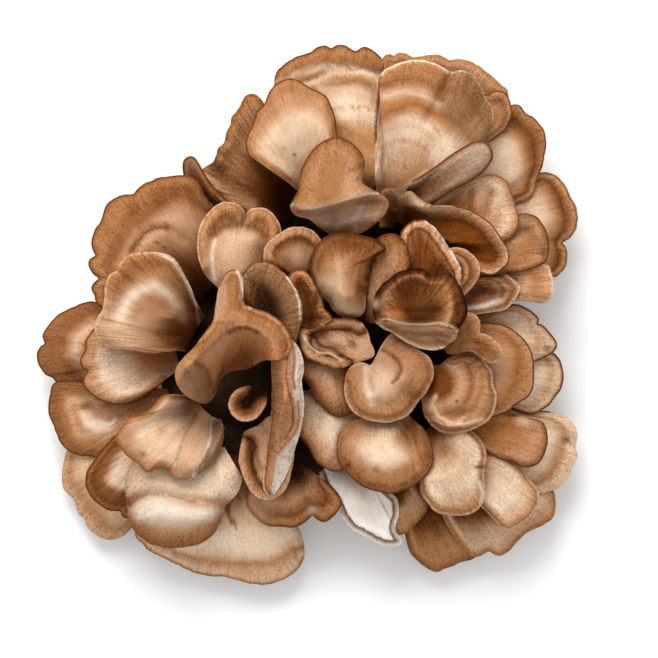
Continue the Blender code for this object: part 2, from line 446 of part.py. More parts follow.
def frond_mesh(name, upper, lower, closed):
    """Closed mesh between a frond's upper and lower faces."""
    rows, ribs = upper.shape[0] - 1, upper.shape[1] - 1
    count = upper.shape[0] * upper.shape[1]
    top = grid_triangles(rows, ribs)
    faces = [tuple(f) for f in top] + [tuple(f[::-1] + count) for f in top]

    def wall(edge):
        for a, b in zip(edge, edge[1:]):
            faces.append((a, a + count, b + count, b))

    last_row = rows * (ribs + 1)
    wall(list(range(last_row, last_row + ribs + 1)))
    if closed:
        ring = list(range(ribs))
        faces.append(tuple(ring))
        faces.append(tuple(a + count for a in ring[::-1]))
    else:
        wall(list(range(ribs, -1, -1)))
        wall(list(range(0, last_row + 1, ribs + 1)))
        wall(list(range(last_row + ribs, -1, -(ribs + 1))))
    points = np.vstack([upper.reshape(-1, 3), lower.reshape(-1, 3)]) * MM
    mesh = bpy.data.meshes.new(name)
    mesh.from_pydata(points.tolist(), [], faces)
    return mesh


def weld_seam(mesh):
    """Joins the first and last ribs of a round cap, which lie in the same place."""
    shape = bmesh.new()
    shape.from_mesh(mesh)
    bmesh.ops.remove_doubles(shape, verts=shape.verts, dist=0.001 * MM)
    shape.to_mesh(mesh)
    shape.free()


def base_radius(angle):
    """Widest radius of the stem base in a direction, eased between the driving values."""
    angles = [a for a, _ in BASE_OUTLINE] + [360 + BASE_OUTLINE[0][0]]
    radii = [r for _, r in BASE_OUTLINE] + [BASE_OUTLINE[0][1]]
    for (low, here), (high, there) in zip(zip(angles, radii), zip(angles[1:], radii[1:])):
        if low <= angle <= high:
            share = (1 - math.cos(math.pi * (angle - low) / (high - low))) / 2
            return here + (there - here) * share
    return radii[0]


def base_rings():
    """Rings of points up the stem base, in millimetres."""
    angles = [360 * k / BASE_SECTORS for k in range(BASE_SECTORS)]
    rings = []
    for share, height in BASE_PROFILE:
        ring = []
        for angle in angles:
            radius = base_radius(angle) * share
            ring.append((radius * math.cos(math.radians(angle)),
                         radius * math.sin(math.radians(angle)), height))
        rings.append(ring)
    return np.array(rings)


def base_mesh(name):
    """The stem base: rings from the flat cut to the dome, closed above at one point."""
    rings = base_rings()
    levels = len(rings)
    faces = [tuple(range(BASE_SECTORS - 1, -1, -1))]
    for level in range(levels - 1):
        for k in range(BASE_SECTORS):
            a = level * BASE_SECTORS + k
            b = level * BASE_SECTORS + (k + 1) % BASE_SECTORS
            faces.append((a, b, b + BASE_SECTORS))
            faces.append((a, b + BASE_SECTORS, a + BASE_SECTORS))
    peak = levels * BASE_SECTORS
    last = peak - BASE_SECTORS
    faces += [(last + k, last + (k + 1) % BASE_SECTORS, peak) for k in range(BASE_SECTORS)]
    points = np.vstack([rings.reshape(-1, 3), [(0, 0, BASE_TOP)]]) * MM
    mesh = bpy.data.meshes.new(name)
    mesh.from_pydata(points.tolist(), [], faces)
    triangles = np.array([f for f in faces if len(f) == 3])
    return mesh, np.einsum("sk,tkc->tsc", WEIGHTS, points[triangles] / MM)


def material(name, tone):
    made = bpy.data.materials.new(name)
    made.use_nodes = True
    shader = made.node_tree.nodes["Principled BSDF"]
    shader.inputs["Base Color"].default_value = (*TONES[tone], 1)
    shader.inputs["Roughness"].default_value = ROUGHNESS
    shader.inputs["Metallic"].default_value = 0
    return made


def place(mesh, name, tone, collection):
    """Puts a finished mesh into the scene as a piece of its own."""
    mesh.materials.append(material(name + "_finish", tone))
    mesh.shade_smooth()
    piece = bpy.data.objects.new(name, mesh)
    collection.objects.link(piece)
    return piece


def main():
    for old in list(bpy.data.objects):
        bpy.data.objects.remove(old)
    collection = bpy.data.collections.new("maitake_mushroom")
    bpy.context.scene.collection.children.link(collection)

    field = HeightField()
    mesh, surface = base_mesh("stem_base")
    field.add(surface)
    place(mesh, "stem_base", "flesh", collection)
    for frond in FRONDS:
        upper, lower = lay(frond, field)
        mesh = frond_mesh(frond.name, upper, lower, frond.closed)
        if frond.closed:
            weld_seam(mesh)
        place(mesh, frond.name, frond.tone, collection)


main()
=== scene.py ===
"""Looks of the maitake mushroom: every frond and the stem base as detailed meshes with procedural
materials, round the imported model.

The tables are in millimetres, +Z up, with the mushroom standing on its cut base. The table of fronds
is the one that the CAD model is made from, in the same stacking order. Each frond here is a fine grid
of ribs from its root to its margin, laid on the fronds below it, with folds, wrinkles, a rounded rim
and an underside that runs down into the stem.
"""

import math
from collections import namedtuple

import bpy
import numpy as np
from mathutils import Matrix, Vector
from mathutils.bvhtree import BVHTree


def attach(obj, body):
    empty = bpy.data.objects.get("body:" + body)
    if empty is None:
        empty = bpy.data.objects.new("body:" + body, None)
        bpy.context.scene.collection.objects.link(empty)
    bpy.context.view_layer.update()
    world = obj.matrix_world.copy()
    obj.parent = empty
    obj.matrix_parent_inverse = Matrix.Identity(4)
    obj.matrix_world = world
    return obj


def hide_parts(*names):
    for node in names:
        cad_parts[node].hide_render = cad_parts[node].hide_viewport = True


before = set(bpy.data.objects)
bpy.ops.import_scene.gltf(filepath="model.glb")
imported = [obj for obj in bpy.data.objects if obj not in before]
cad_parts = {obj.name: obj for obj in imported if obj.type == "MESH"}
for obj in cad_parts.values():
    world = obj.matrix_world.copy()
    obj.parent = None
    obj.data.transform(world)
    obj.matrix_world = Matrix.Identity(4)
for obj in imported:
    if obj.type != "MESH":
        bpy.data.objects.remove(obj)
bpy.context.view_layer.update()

# ---------------------------------------------------------------- driving dimensions

MM = 0.001
RIB_STEP = 1.3        # spacing of the ribs along a margin
ROWS = 34              # rows of a cap's upper face
LOWER_ROWS = 10         # rows of its underside
LEAST_RIBS = 20
RIM_STEPS = 3                           # points round the rim, between the upper face and the underside
STALK_WIDTH, STALK_DEPTH = 12.0, 7.0    # size of a fan's root, across it and along it
STALK_RADIUS = 6.0                      # radius of the stalk under a round cap
HUB_RADIUS = 0.4                        # of the ring of points at the middle of a round cap
ROOT_THICKNESS = 6.0
MARGIN_THICKNESS = 1.1
SIDE_THICKNESS, SIDE_WIDTH = 0.8, 6.0   # a fan thins towards its sides, over this width
LEAST_THICKNESS = 0.6
MOST_UNDERSIDE = 4.5                    # furthest that an underside hangs below its cap
DROOP = 2.5                             # how far every margin turns down at its very edge
CELL = 1.5                              # of the height field that fronds are laid on
FIELD_HALF_WIDTH = 150.0
REST_GAP = 0.5                          # air left between a frond and what it lies on
EASING_PASSES = 60                      # for the surface of a frond that is lifted clear
ATTACHED = 14.0                         # added to the distance from a margin that is attached or bare
RIB_CIRCLE = 25.0                       # circle that the fibres of a round cap are told apart on
CURVE_STEPS = 12                        # between two points of an outline
ROOT_SINK, LEAST_LEVEL = 3.0, 4.0       # undersides end this far inside the stem base
CAP_SINK, FAN_SINK = (0.62, 1.4), (0.42, 1.5)   # part of an underside that runs down, and how

# The stem base: widest radius towards each angle in degrees, and (share of it, height) up its side.
BASE_OUTLINE = [(0, 74), (38, 84), (66, 82), (100, 64), (135, 58), (172, 64),
                (200, 80), (226, 90), (252, 82), (282, 78), (310, 88), (336, 82)]
BASE_SHOULDER, BASE_TOP = 24.0, 34.0    # heights of its widest ring and of the dome between the stalks
BASE_PROFILE = [(0.62, 0.0), (0.70, 4.0), (0.84, 11.0), (0.96, 18.0), (1.0, BASE_SHOULDER)]
BASE_SECTORS, BASE_LEVELS = 320, 44
DOME_STEPS = 14
CUT_RINGS = 8                           # rings of points over the cut face

# Relief of a frond: wavelengths, heights and places on it.
LOBE_SIZES = [(0.55, 7.0, 0), (0.30, 2.6, 7)]   # height, wavelength and seed of the margin's lobes
RUFFLE_WAVE, SWELL_WAVE = 11.0, 14.0
WRINKLE_WAVE, WRINKLE_LENGTH = 2.2, 14.0
SKIN_HEIGHT, SKIN_WAVE = 0.12, 2.5
ROLL_PLACE, ROLL_WIDTH = 2.5, 2.2       # distance from the margin
FURROW_PLACE, FURROW_WIDTH = 7.5, 3.0
CLIFF_POWER = 0.8                       # below 1, a cliff is steepest at its top
ZONE_SWING, ZONE_WAVE = 2.2, 13.0       # how far the colour zones stray, and over what length

# Openness: rays to the sky from every few points of a frond; the materials paint shade where it is low.
SKY_RAYS, GOLDEN_ANGLE = 14, 2.39996
RAY_LENGTH = 0.07                       # metres
RAY_START, RAY_RISE = 0.7, 0.5          # off the surface, and upwards
RAY_LEAN = 0.35                         # of a ray towards the surface's normal
BLOCKER_STRIDE, SAMPLE_STRIDE = 2, 3

ALBEDO = 0.86      # of the colours below, which are as they look under the studio light
COLOURS = {
    "snow": (255, 252, 248), "white": (240, 229, 217), "pale": (243, 219, 193),
    "cream": (230, 198, 167), "sand": (211, 168, 133), "tan": (193, 144, 106),
    "ochre": (177, 124, 79), "amber": (224, 165, 104), "orange": (190, 117, 56),
    "rust": (130, 71, 23), "brown": (150, 100, 62), "umber": (112, 65, 28),
    "dark": (72, 38, 14), "deep": (36, 16, 5), "grey": (150, 116, 86), "lilac": (180, 155, 134),
}

# The table of fronds. Shape: height is where the cap lies, bow how far it arches between root and
# margin, and crest the share of the way there where its margin starts to turn. An outline is a list
# of points "x,y" or "x,y,turn", with the turn up or down. Round caps are closed, and fans open at
# the root. Relief: folds are ridges (+) and creases (-) as (height, width, points); cliffs are (drop,
# width, corners), steep drops inside a polygon, and rest_turn is what is left of the margin's turn on
# a frond with cliffs. lobes, ruffle, wrinkle and swell say how strongly the cap is waved, roll and
# furrow shape the band along its margin, droop is the share of the common droop, and turn the power
# of the margin's turn. stalk is the width of a fan's root, start the most height of that root.
# Colour: zones are the colours inwards from the margin, with the distances where they change; lip is
# the same for a part of the margin that turns down. patches are (colour, soft edge, strength,
# corners), spots (x, y, radius, colour, strength) and lines (colour, width, strength, points), laid
# on in that order; a comment at a frond says where one of them paints shade or a highlight. source
# is the point that the fibres spread from (the root if not given), and stray how far they carry a
# zone's edge. arc blends the zones from the margin's shape (0) to circles round the root (1); rings
# (x, y, radius) makes them circles round a point. streaks, veins and shade are the strength of the
# fibres, of the dark veins and of the painted shade in crevices and under other fronds. bare means
# that a fan's sides have no margin colours.
Frond = namedtuple("Frond", "name tone height bow crest root outline closed look")


def frond(name, tone, height, bow, crest, root, outline, closed=False, **look):
    defaults = dict(
        lip=None, patches=[], spots=[], lines=[], source=root, stray=0.7, arc=0.0 if closed else 0.6,
        rings=None, streaks=0.95, veins=0.6, shade=1.0, folds=[], cliffs=[], rest_turn=0.0, lobes=1.0,
        ruffle=1.2, wrinkle=0.3, swell=0.8, roll=0.7, furrow=0.8, droop=1.0, turn=1.3,
        stalk=STALK_WIDTH, start=math.inf, bare=False)
    return Frond(name, tone, height, bow, crest, root, outline, closed, defaults | look)


FRONDS = [
    # Outer ring
    frond("back_edge_frond", "tan", 36, 5, 0.6, (36, 66), "30,112 36,123 38,129 41,130.7 43,130 46,131.5 "
          "50,130.5 53,129 58,129.8 63,130.6 67,129.8 70.5,127.5 74,128 79,127.5 83,126 88,122.5 93,119 "
          "97,115 99.5,111 98,100 90,88", ruffle=2.5,
          zones="ochre 2 tan 6 brown 10 tan 18 umber 28 dark"),
    frond("right_shoulder_frond", "cream", 30, 6, 0.6, (62, 40), "104,66 114,70.5 119,71.7 123,70.5 "
          "127,67 130,63 131.5,59 134,54 135,49 134,44 131.5,40 127,37 129,34 129.5,30 129,26 126.5,22 "
          "124,20 119,20 106,20 90,18",
          zones="brown 1 tan 3 brown 5 umber 7 brown 10 tan 14 cream 19 pale",
          spots=[(104, 60, 10, "brown", 0.5)]),
    frond("back_right_frond", "cream", 40, 5, 0.6, (52, 52), "90,98 98,103 102,105 105,105 107.5,102.5 "
          "109.5,100.5 112,99.5 115,96.5 117.5,93 118.5,88 118.3,84 117.5,79 116.5,74 113.5,67.5,-6 "
          "113,63,-8 110.5,59.5,-9 107,57.8,-9 98,56,-4 85,54",
          zones="umber 0.35 ochre 3 brown 6 umber 9 brown 12 tan 15 cream 19 pale",
          lip="brown 1 tan 3 grey 7 umber 12 brown 16 tan",
          folds=[(-2, 2.5, "101,60 104,66 110,70 117,74")]),
    frond("back_right_lobe", "orange", 48, 4, 0.6, (45, 58), "80,109 86,111.5 90,110 94,112 99,110 "
          "101.5,104 101.5,100 100,96.5 98,93 95,90.8 90,87",
          zones="umber 0.35 tan 3 brown 7 tan 12 orange 20 rust",
          folds=[(-2, 2, "88,107 98,104"), (-2, 2, "86,101 98,97")]),
    frond("left_edge_frond", "tan", 26, 6, 0.6, (-70, -18), "-98,4 -107,6.5 -111,6.5 -117,4.5 -124,1 "
          "-129,-4 -132.5,-9 -131.5,-14 -134,-16 -135.5,-20 -134,-25 -131,-29 -127,-31 -124,-36 "
          "-120,-39.5 -112,-41 -102,-40", arc=0.3,
          zones="umber 0.35 brown 4 brown 9 brown 12 tan 15 cream 18 sand 20 brown 24 umber",
          # The umber spot at (-115, -26) paints shade in the hollow there.
          spots=[(-115, -26, 7, "umber", 0.8)],
          folds=[(-3, 5, "-112,-4 -116,-16 -115,-28 -110,-36")]),
    frond("front_left_corner_frond", "cream", 16, 5, 0.6, (-62, -54), "-110,-60 -119,-65 -122,-73 "
          "-123,-80 -122,-87 -118,-92 -116,-95 -115,-99 -112,-101.5 -110,-106 -105,-111 -100,-112 "
          "-95,-111 -91,-108 -86,-102 -78,-90",
          zones="sand 1.5 sand 4 tan 6 tan 8 sand 12 cream 20 tan 30 umber"),
    frond("left_lower_frond", "orange", 26, 5, 0.6, (-66, -40), "-104,-34 -118,-33 -127,-34 -129,-40 "
          "-130,-45 -129.5,-50 -127,-56 -124,-62 -120,-67 -115,-69.5 -115,-69.5 -109,-70 -101,-70 "
          "-92,-66 -80,-56", stalk=20, arc=0.1,
          zones="umber 0.35 brown 3 brown 7 ochre 10 sand 13 tan 18 sand 21 tan 26 ochre 40 rust",
          patches=[("pale", 4, 0.85, "-115,-48 -112,-55 -106,-59 -99,-58 -96.5,-53 -102,-53 -107,-51 "
            "-110,-46")],
          spots=[(-111, -45, 3, "rust", 0.8), (-92, -47, 12, "rust", 0.5)],
          lines=[("white", 0.5, 0.9, "-96.5,-51.5 -98,-54 -101,-54 -104,-53")],
          folds=[(-2, 3, "-112,-42 -108,-50 -100,-53 -94,-50")]),
    frond("front_wide_frond", "tan", 20, 8, 0.6, (-38, -66), "-74,-96 -86,-108 -82,-115 -76,-119 "
          "-69,-123 -61,-127 -55,-129 -47,-130 -35,-132 -30,-134 -22,-134.5 -15,-133 -9,-130 -4,-124 "
          "-2.5,-118 -3.5,-111 -7,-104 -16,-92", stalk=30, bare=True, arc=0.5, streaks=0.9, ruffle=2,
          wrinkle=0.6,
          zones="ochre 0.4 sand 1.5 cream 5 sand 7.5 tan 10 cream 14 pale 20 pale 27 cream 36 sand 46 "
          "tan 56 umber",
          # The umber spot at (-38, -84) paints shade where the top of the frond runs under the others.
          spots=[(-38, -84, 12, "umber", 0.7)],
          lines=[("umber", 1, 0.8, "-41,-90 -40.5,-98 -38,-104"), ("umber", 0.6, 0.8, "-37,-102 "
            "-36,-106")],
          folds=[(-1.5, 1.5, "-41,-88 -40.5,-97 -38,-104"), (-1, 1, "-37,-102 -36,-106")]),
    frond("front_right_small_frond", "tan", 18, 5, 0.6, (44, -64), "44,-84 46,-96 49,-108 51.5,-118 "
          "55,-122 60,-126 65,-128 68,-127 72,-125.5 77,-123 83,-121.5 87,-118 84,-106 74,-92",
          zones="brown 0.5 brown 2.5 ochre 6 tan 11 ochre 17 umber 24 dark 36 deep"),
    frond("front_right_frond", "cream", 24, 5, 0.6, (57, -57), "64,-88 68,-100 73,-109 79,-117 84,-120 "
          "91,-118 94,-119.5 97,-119.5 101,-117 105,-112 110,-108 116,-105 121,-102 123,-99 123.5,-94 "
          "122,-87 112,-78", zones="ochre 0.5 ochre 2.5 sand 7 cream 13 sand 20 umber 28 dark"),
    frond("right_lower_frond", "tan", 28, 5, 0.6, (65, -42), "90,-40 104,-45 113,-47.5 121,-48.5 127,-50 "
          "132,-54 134.5,-60 134,-66 134.5,-71 131,-79 126,-85 120,-87.5 114,-88 106,-84 94,-74",
          zones="cream 0.8 cream 3 cream 5 sand 7 tan 9 sand 12 pale 16 pale 30 cream",
          spots=[(129.5, -62, 2, "dark", 0.8)]),
    frond("right_small_frond", "cream", 32, 4, 0.6, (68, -24), "110,-12 118,-16 124,-20 127,-25 "
          "127.5,-31 126,-36 123,-41 119,-45 114,-48 108,-48 98,-44",
          zones="umber 0.35 tan 1.5 cream 5 sand 7 cream 10 pale 15 pale 24 cream"),
    frond("right_middle_frond", "tan", 42, 5, 0.6, (64, -10), "76,-1 87,1 95,3.5 103,5.5 108,4 112,1.5 "
          "115,-1.5 114.5,-4 117,-5 121,-9 124,-13 124,-16 121,-19 110,-24",
          zones="umber 0.35 sand 2 cream 5 sand 7.5 cream 11 pale 18 pale 30 cream",
          spots=[(119.5, -16, 1.6, "deep", 0.9)]),
    # Second ring
    frond("back_fan", "orange", 58, 8, 0.6, (22, 54), "-12,96 -17,108 -16.5,114 -15.5,120 -12,125 "
          "-5,128.5 1,130.5 5,133 9,134 11.5,132.6 15,134.5 19,134 24,131.5 28,133.2 32,132 36,129 "
          "37.5,125 37,119 40,108 42,92", stalk=34, bare=True, arc=0.55, shade=0.25, ruffle=2.2,
          wrinkle=0.5,
          zones="umber 0.35 brown 2 ochre 7 brown 10 umber 12 cream 14.5 tan 17 brown 19 tan 22 cream 25 "
          "pale 32 cream 34 orange 35 pale 38 pale 43 sand 46 pale 54 cream 62 cream 76 sand",
          patches=[("amber", 8, 0.85, "4,93 36,93 36,58 16,58")],
          lines=[("ochre", 2.2, 0.5, "-15,111 -7,117 4,119.5 14,119 24,118.5 35,115"), ("pale", 1.6, 0.55,
            "-15,115 -5,121 8,124 22,123 36,119"), ("pale", 2.2, 0.5, "6,113 16,113 26,112 35,109"),
            ("orange", 0.9, 0.7, "10,103 20,104 28,104 35,102"), ("amber", 2.2, 0.5, "8,92 16,95 24,96 "
            "30,94 36,89"), ("dark", 0.8, 0.8, "36,115 34.8,104 33.8,94 34,86")],
          folds=[(5, 12, "16,64 30,66"), (6, 8, "20,96 25,84 29,72"), (-1.5, 1.2, "-4,118 -2,126 -1,130"),
            (-1.5, 1.2, "8,122 11,132"), (-1.2, 1.2, "22,124 24.5,131")]),
    frond("back_left_dark_frond", "grey", 60, 5, 0.6, (-4, 50), "-15,96 -22,105.5 -24.5,108.5 "
          "-27.5,110.3 -31,109 -35,102.5 -37.5,99 -38,95 -40,91 -41.5,86 -44.5,83 -45,80 -47,76 -53,72,3 "
          "-51,67,5 -46,62,6 -42,58,6 -36,54,5 -30,48,3", stalk=16, streaks=1.2, veins=1.6, shade=0.7,
          wrinkle=1.1, zones="brown 2 ochre 5 grey 9 brown 14 grey 20 brown 28 umber 36 dark", lip="tan",
          lines=[("sand", 2.6, 0.8, "-53,70 -46,66 -38,60 -28,55"), ("dark", 3.5, 0.9, "-43,72 -47,76"),
            # The dark line from (-13, 59) to (-9, 52) paints shade inside the crease there.
            ("dark", 4, 0.95, "-13,59 -9,52"), ("umber", 3, 0.5, "-40,82 -30,78 -22,74"),
            ("umber", 6, 0.6, "-40,68 -30,64 -20,62")],
          folds=[(3.5, 3.5, "-52,69 -44,64 -36,58 -26,54"), (-4, 4, "-14,60 -10,54 -4,48")]),
    frond("left_dark_blade", "brown", 50, 4, 0.6, (-34, 38), "-56,58 -61,69 -62,74 -61.5,77.5 -59.5,79 "
          "-57,78.5 -55,76 -51,69 -46,62 -38,54", zones="umber 1 grey 3 umber 6 rust 12 deep"),
    frond("left_back_fan", "tan", 56, 7, 0.6, (-48, 10), "-40,36 -45,50 -50,57 -53,62 -54,65 -57,68 "
          "-62,69.5 -68,69 -75,68 -80,66 -84,63 -86.5,60 -91,60 -95,59 -100,55.5 -103,47.5 -106,43 "
          "-107.5,38 -107,33 -105.5,30 -109,28 -109,25 -107,21.5 -104,18.5 -107,15 -106,11 -103,5 -88,-2",
          stalk=26, arc=0.5, ruffle=2.5, wrinkle=0.6,
          zones="umber 0.35 brown 2 ochre 5 ochre 9 brown 13 brown 16 tan 21 sand 25 tan 36 ochre 50 "
          "umber",
          # The large dark spot at (-56, 12) paints shade towards the root, under the fronds above.
          spots=[(-56, 12, 15, "dark", 0.9), (-74, 58, 7, "umber", 0.6), (-64, 60, 6, "umber", 0.45),
            (-88, 52, 5, "umber", 0.4), (-75, 37, 0.7, "deep", 0.9), (-71.5, 34, 0.7, "deep", 0.9),
            (-71, 46, 0.7, "deep", 0.9), (-87, 53, 3, "rust", 0.7)],
          lines=[("rust", 1.6, 0.95, "-88,32 -85,37 -82,41 -77,44 -70,44")],
          folds=[(-1.5, 2, "-87,33 -82,41 -77,44 -70,44 -62,38")]),
    frond("left_under_frond", "cream", 48, 4, 0.6, (-62, -20), "-98,-2 -106,-6 -110,-11 -110.5,-17 "
          "-113,-22 -112,-25.5 -109.5,-27 -111.5,-31 -111,-35 -108,-38.5 -104,-41 -98,-43.5 -92,-43.5 "
          "-86,-42 -80,-38.5 -72,-32", stalk=20, arc=0.3, shade=0.5,
          zones="umber 0.35 ochre 2 tan 5 sand 8 pale 13 pale 25 pale 32 ochre 44 rust",
          # The ochre patch and the orange and ochre spots paint shade along the top, under the rim of
          # left_middle_fan.
          patches=[("ochre", 5, 0.8, "-106,-12 -66,-12 -62,-25 -82,-23 -100,-16")],
          spots=[(-78, -23, 12, "orange", 0.75), (-100, -17, 8, "ochre", 0.5)]),
    frond("front_left_cup_frond", "brown", 40, 4, 0.6, (-60, -52), "-94,-58 -102,-66 -107,-73 -110,-78 "
          "-111,-84 -109,-89 -105,-93 -101,-96 -97,-97 -94,-97.5 -93,-100 -90.5,-101 -87,-98 -82,-92.5 "
          "-74,-82", arc=0.2, wrinkle=0.9,
          zones="umber 1 brown 3 umber 8 brown 10 sand 12 pale 20 cream 25 ochre 32 umber 45 deep",
          folds=[(-3, 5, "-92,-70 -96,-80 -90,-90")]),
    frond("front_right_pale_frond", "cream", 46, 5, 0.6, (60, -54), "96,-68 102,-73 107,-77 110,-82 "
          "114,-87 114.5,-93 112,-99 107,-103 100,-106.5 95,-103 90,-98 80,-88",
          zones="sand 0.6 brown 1.2 tan 3.5 sand 7 cream 11 pale 20 cream 26 tan 32 umber"),
    frond("right_bright_frond", "orange", 52, 4, 0.6, (64, -44), "80,-44 92,-47 104,-50 110,-51.5 "
          "115,-52.5 118,-54.5 119.5,-60 118.5,-66 116,-72 112,-75 107,-75 102,-72.5 96,-71 86,-66",
          arc=0.6, zones="umber 0.35 brown 3 tan 6 tan 12 ochre 16 ochre 22 orange 30 ochre",
          spots=[(100, -52, 8, "orange", 0.8), (108, -50, 5, "cream", 0.7), (93, -50, 6, "ochre", 0.8)],
          folds=[(-3, 3, "90,-54 100,-58 101,-49")]),
    frond("right_brown_frond", "brown", 60, 4, 0.6, (68, -22), "78,-8 85,-4 92,-4 100,-6 106,-11 110,-16 "
          "112.5,-24 112,-34 109,-40 103,-44 100,-47 95,-49 90,-49 80,-42", stalk=20,
          zones="umber 0.35 tan 3 ochre 7 brown 9 ochre 13 tan 18 sand 26 sand 36 ochre",
          spots=[(88, -9, 8, "umber", 0.4)]),
    frond("front_tan_frond", "tan", 42, 3, 0.6, (37, -68), "50,-78 57,-88 59.5,-95 57,-100 52,-105 "
          "48,-108.5 43,-109 37,-104 34,-92", zones="brown 0.8 ochre 3 tan 9 sand 13 umber 20 dark"),
    frond("front_curled_frond", "flesh", 44, 4, 0.55, (22, -68), "38,-86 44,-92 45,-99 44,-104 43.5,-108 "
          "46.5,-112.5,-2 43,-114.5,-3 38,-114.5,-3 33,-112.5,-3 28,-109.5,-3 22,-106,-3 18,-101,-2 "
          "16,-96,-2 11,-90 8,-84 6,-78", stalk=16, start=30, arc=0, streaks=0.25, veins=0.2, shade=0.15,
          lobes=1.6, zones="white 2.2 umber 2.8 white 3.6 snow 22 pale 28 tan 36 umber",
          spots=[(16, -75, 7, "umber", 0.6), (32, -76, 9, "brown", 0.4)],
          folds=[(1.6, 1.6, "10,-88 19,-95 25,-106 33,-108 42,-112")]),
    frond("front_dark_fan", "brown", 46, 4, 0.6, (-14, -70), "-28,-80 -30.5,-91 -28,-98 -22,-103 "
          "-15,-105 -7,-105 -2,-103 2,-99.5 5,-101.5 8.5,-102.5 12,-100 15,-96 16,-91 8,-82", stalk=16,
          zones="umber 0.35 brown 2 ochre 4 brown 6 umber 9 brown 13 tan 18 brown 26 umber",
          spots=[(-5, -80, 8, "deep", 0.95), (-24, -94, 8, "sand", 0.7), (-10, -90, 6, "tan", 0.5),
            (2, -97, 2, "white", 0.6)],
          folds=[(-2, 1.6, "0,-92 3,-99")]),
    # Third ring
    frond("back_left_pale_frond", "cream", 74, 4, 0.6, (1, 62), "-10,67 -16,71 -22,75 -28.5,79.5 "
          "-30.5,85 -29.5,90 -27,95 -25,101 -21.5,105 -19.5,110 -16.5,114 -13,116.5 -9,117.5 -5,116.5 "
          "0,113.5 5,111 9,108.5 11,104.5 13,99 14,92 15,84", stalk=16, arc=0.5, streaks=0.6, veins=0.5,
          wrinkle=0.5, zones="umber 0.35 ochre 2 ochre 5 tan 8 tan 11 sand 14 cream 30 cream",
          spots=[(-6.5, 80, 0.8, "rust", 0.9), (-12, 83, 1.2, "ochre", 0.5)]),
    frond("back_right_fan", "tan", 72, 6, 0.6, (44, 52), "33,78 35,88 36,97 36.5,105 36,112 35.5,117 "
          "37,120.5 41,123.5 48,126 55,126.7 62,125.5 67,123 70.5,121 74,121.5 79,121 83,118 86,113.5 "
          "88,108 91,103 91.5,99 91,95 89,91 85,86 76,78", stalk=36, bare=True, arc=0.5, shade=0.45,
          wrinkle=0.45,
          zones="pale 0.4 tan 2 ochre 6 ochre 10 brown 13 tan 16 tan 19 ochre 21 brown 23 tan 26 cream "
          "29 pale 36 cream 41 tan 43 pale 47 cream 53 amber 62 amber 72 ochre",
          patches=[("ochre", 14, 0.6, "36,82 58,84 54,56 36,56"), ("grey", 8, 0.6, "71,122 66,110 66,98 "
            "74,84 95,84 98,110 84,126")],
          spots=[(82, 108, 13, "umber", 0.55), (67, 108, 0.9, "deep", 0.9), (48, 74, 1, "rust", 0.6)],
          # Of these lines, the thin white one along the top margin paints a highlight where light catches
          # the edge.
          lines=[("umber", 1.6, 0.7, "70,120 67,113 64,106"), ("brown", 2.4, 0.55, "38,114 48,116.5 "
            "58,115 66,110"), ("pale", 1.5, 0.5, "38,109 48,111.5 57,110 65,105"), ("orange", 1.8, 0.6,
            "37.5,103 46,106 54,105.5 62,101 69,93"), ("ochre", 1.2, 0.6, "37.5,99 46,101.5 54,101 61,97 "
            "66,90"), ("orange", 1.4, 0.45, "37,84 45,87.5 53,87 60,82"), ("sand", 2, 0.5, "36,92 46,95 "
            "55,94 63,87"), ("white", 0.5, 0.9, "37,120 43,123.8 52,126.2 62,125 69,121.5"),
            ("umber", 3, 0.45, "76,96 82,102 84,110")],
          folds=[(7, 13, "38,61 46,63 54,65"), (-3, 2.5, "71,121 67,113 60,97"), (-1, 1, "37,112 36,96 "
            "35,82")]),
    frond("right_curl_low", "cream", 58, 3, 0.6, (60, 14), "80,22 97,24 104,23.5 111,25 119,25 121.5,20 "
          "122,14 121,9 117,7 112,7.5 106,8 98,8 80,6",
          zones="cream 1 sand 3 tan 6 ochre 9 sand 14 tan 20 brown",
          folds=[(2, 3, "84,16 98,17 106,11 118,12")]),
    frond("right_swirl_curl", "cream", 66, 3, 0.6, (58, 10), "78,20 86,21 92,21.5 98,20.5 102,17.5 "
          "105,14 103,9 99.5,4.5 95,3 88,2 78,0",
          zones="cream 0.8 tan 2 brown 4 tan 5.5 brown 7 tan 9 brown",
          lines=[("white", 1.4, 0.8, "79,4 88,5 96,8")],
          folds=[(1.8, 1.3, "84,17 90,14 97,15 103,12"), (-1.8, 1.2, "84,14.5 90,11.5 98,12"), (1.5, 1.2,
            "83,20 90,19 98,19"), (2, 2, "80,18 92,18 100,14 99,8"), (-3, 2, "82,12 90,13 95,9")]),
    frond("right_low_lip", "orange", 58, 3, 0.6, (62, 30), "84,42 96,46.5 104,50 110,50.5 115,48 118,42 "
          "119.5,35 118,28 113,24.5 106,22.5 97,22 82,20", ruffle=2.5,
          zones="umber 0.35 brown 3 tan 8 ochre 16 tan",
          spots=[(108, 46, 5, "grey", 0.8), (117, 32, 3, "umber", 0.7)],
          folds=[(2.5, 3, "100,46 112,45 116,38"), (-2.5, 2.5, "98,42 108,42")]),
    frond("right_bumpy_frond", "orange", 62, 5, 0.6, (56, 46), "64,58 70,61 76,64.5 84,68 90,70 95,69.5 "
          "99,67 101,62 103,56 104,49 103,43 98,38 86,36", stalk=18, shade=0.5, ruffle=2.5, swell=2.4,
          zones="brown 0.35 tan 2 sand 5 cream 9 sand 14 tan 22 orange 32 rust",
          lines=[("cream", 1.2, 0.7, "64,56 70,62 78,66.5 88,68 96,63"), ("brown", 1.6, 0.5, "80,50 "
            "81,62"), ("brown", 1.6, 0.5, "89,50 91,61")],
          folds=[(1.6, 1.5, "64,55 70,61 78,66 88,67.5 96,62 99,56"), (2.2, 3, "73,55 78,60"), (2.2, 3,
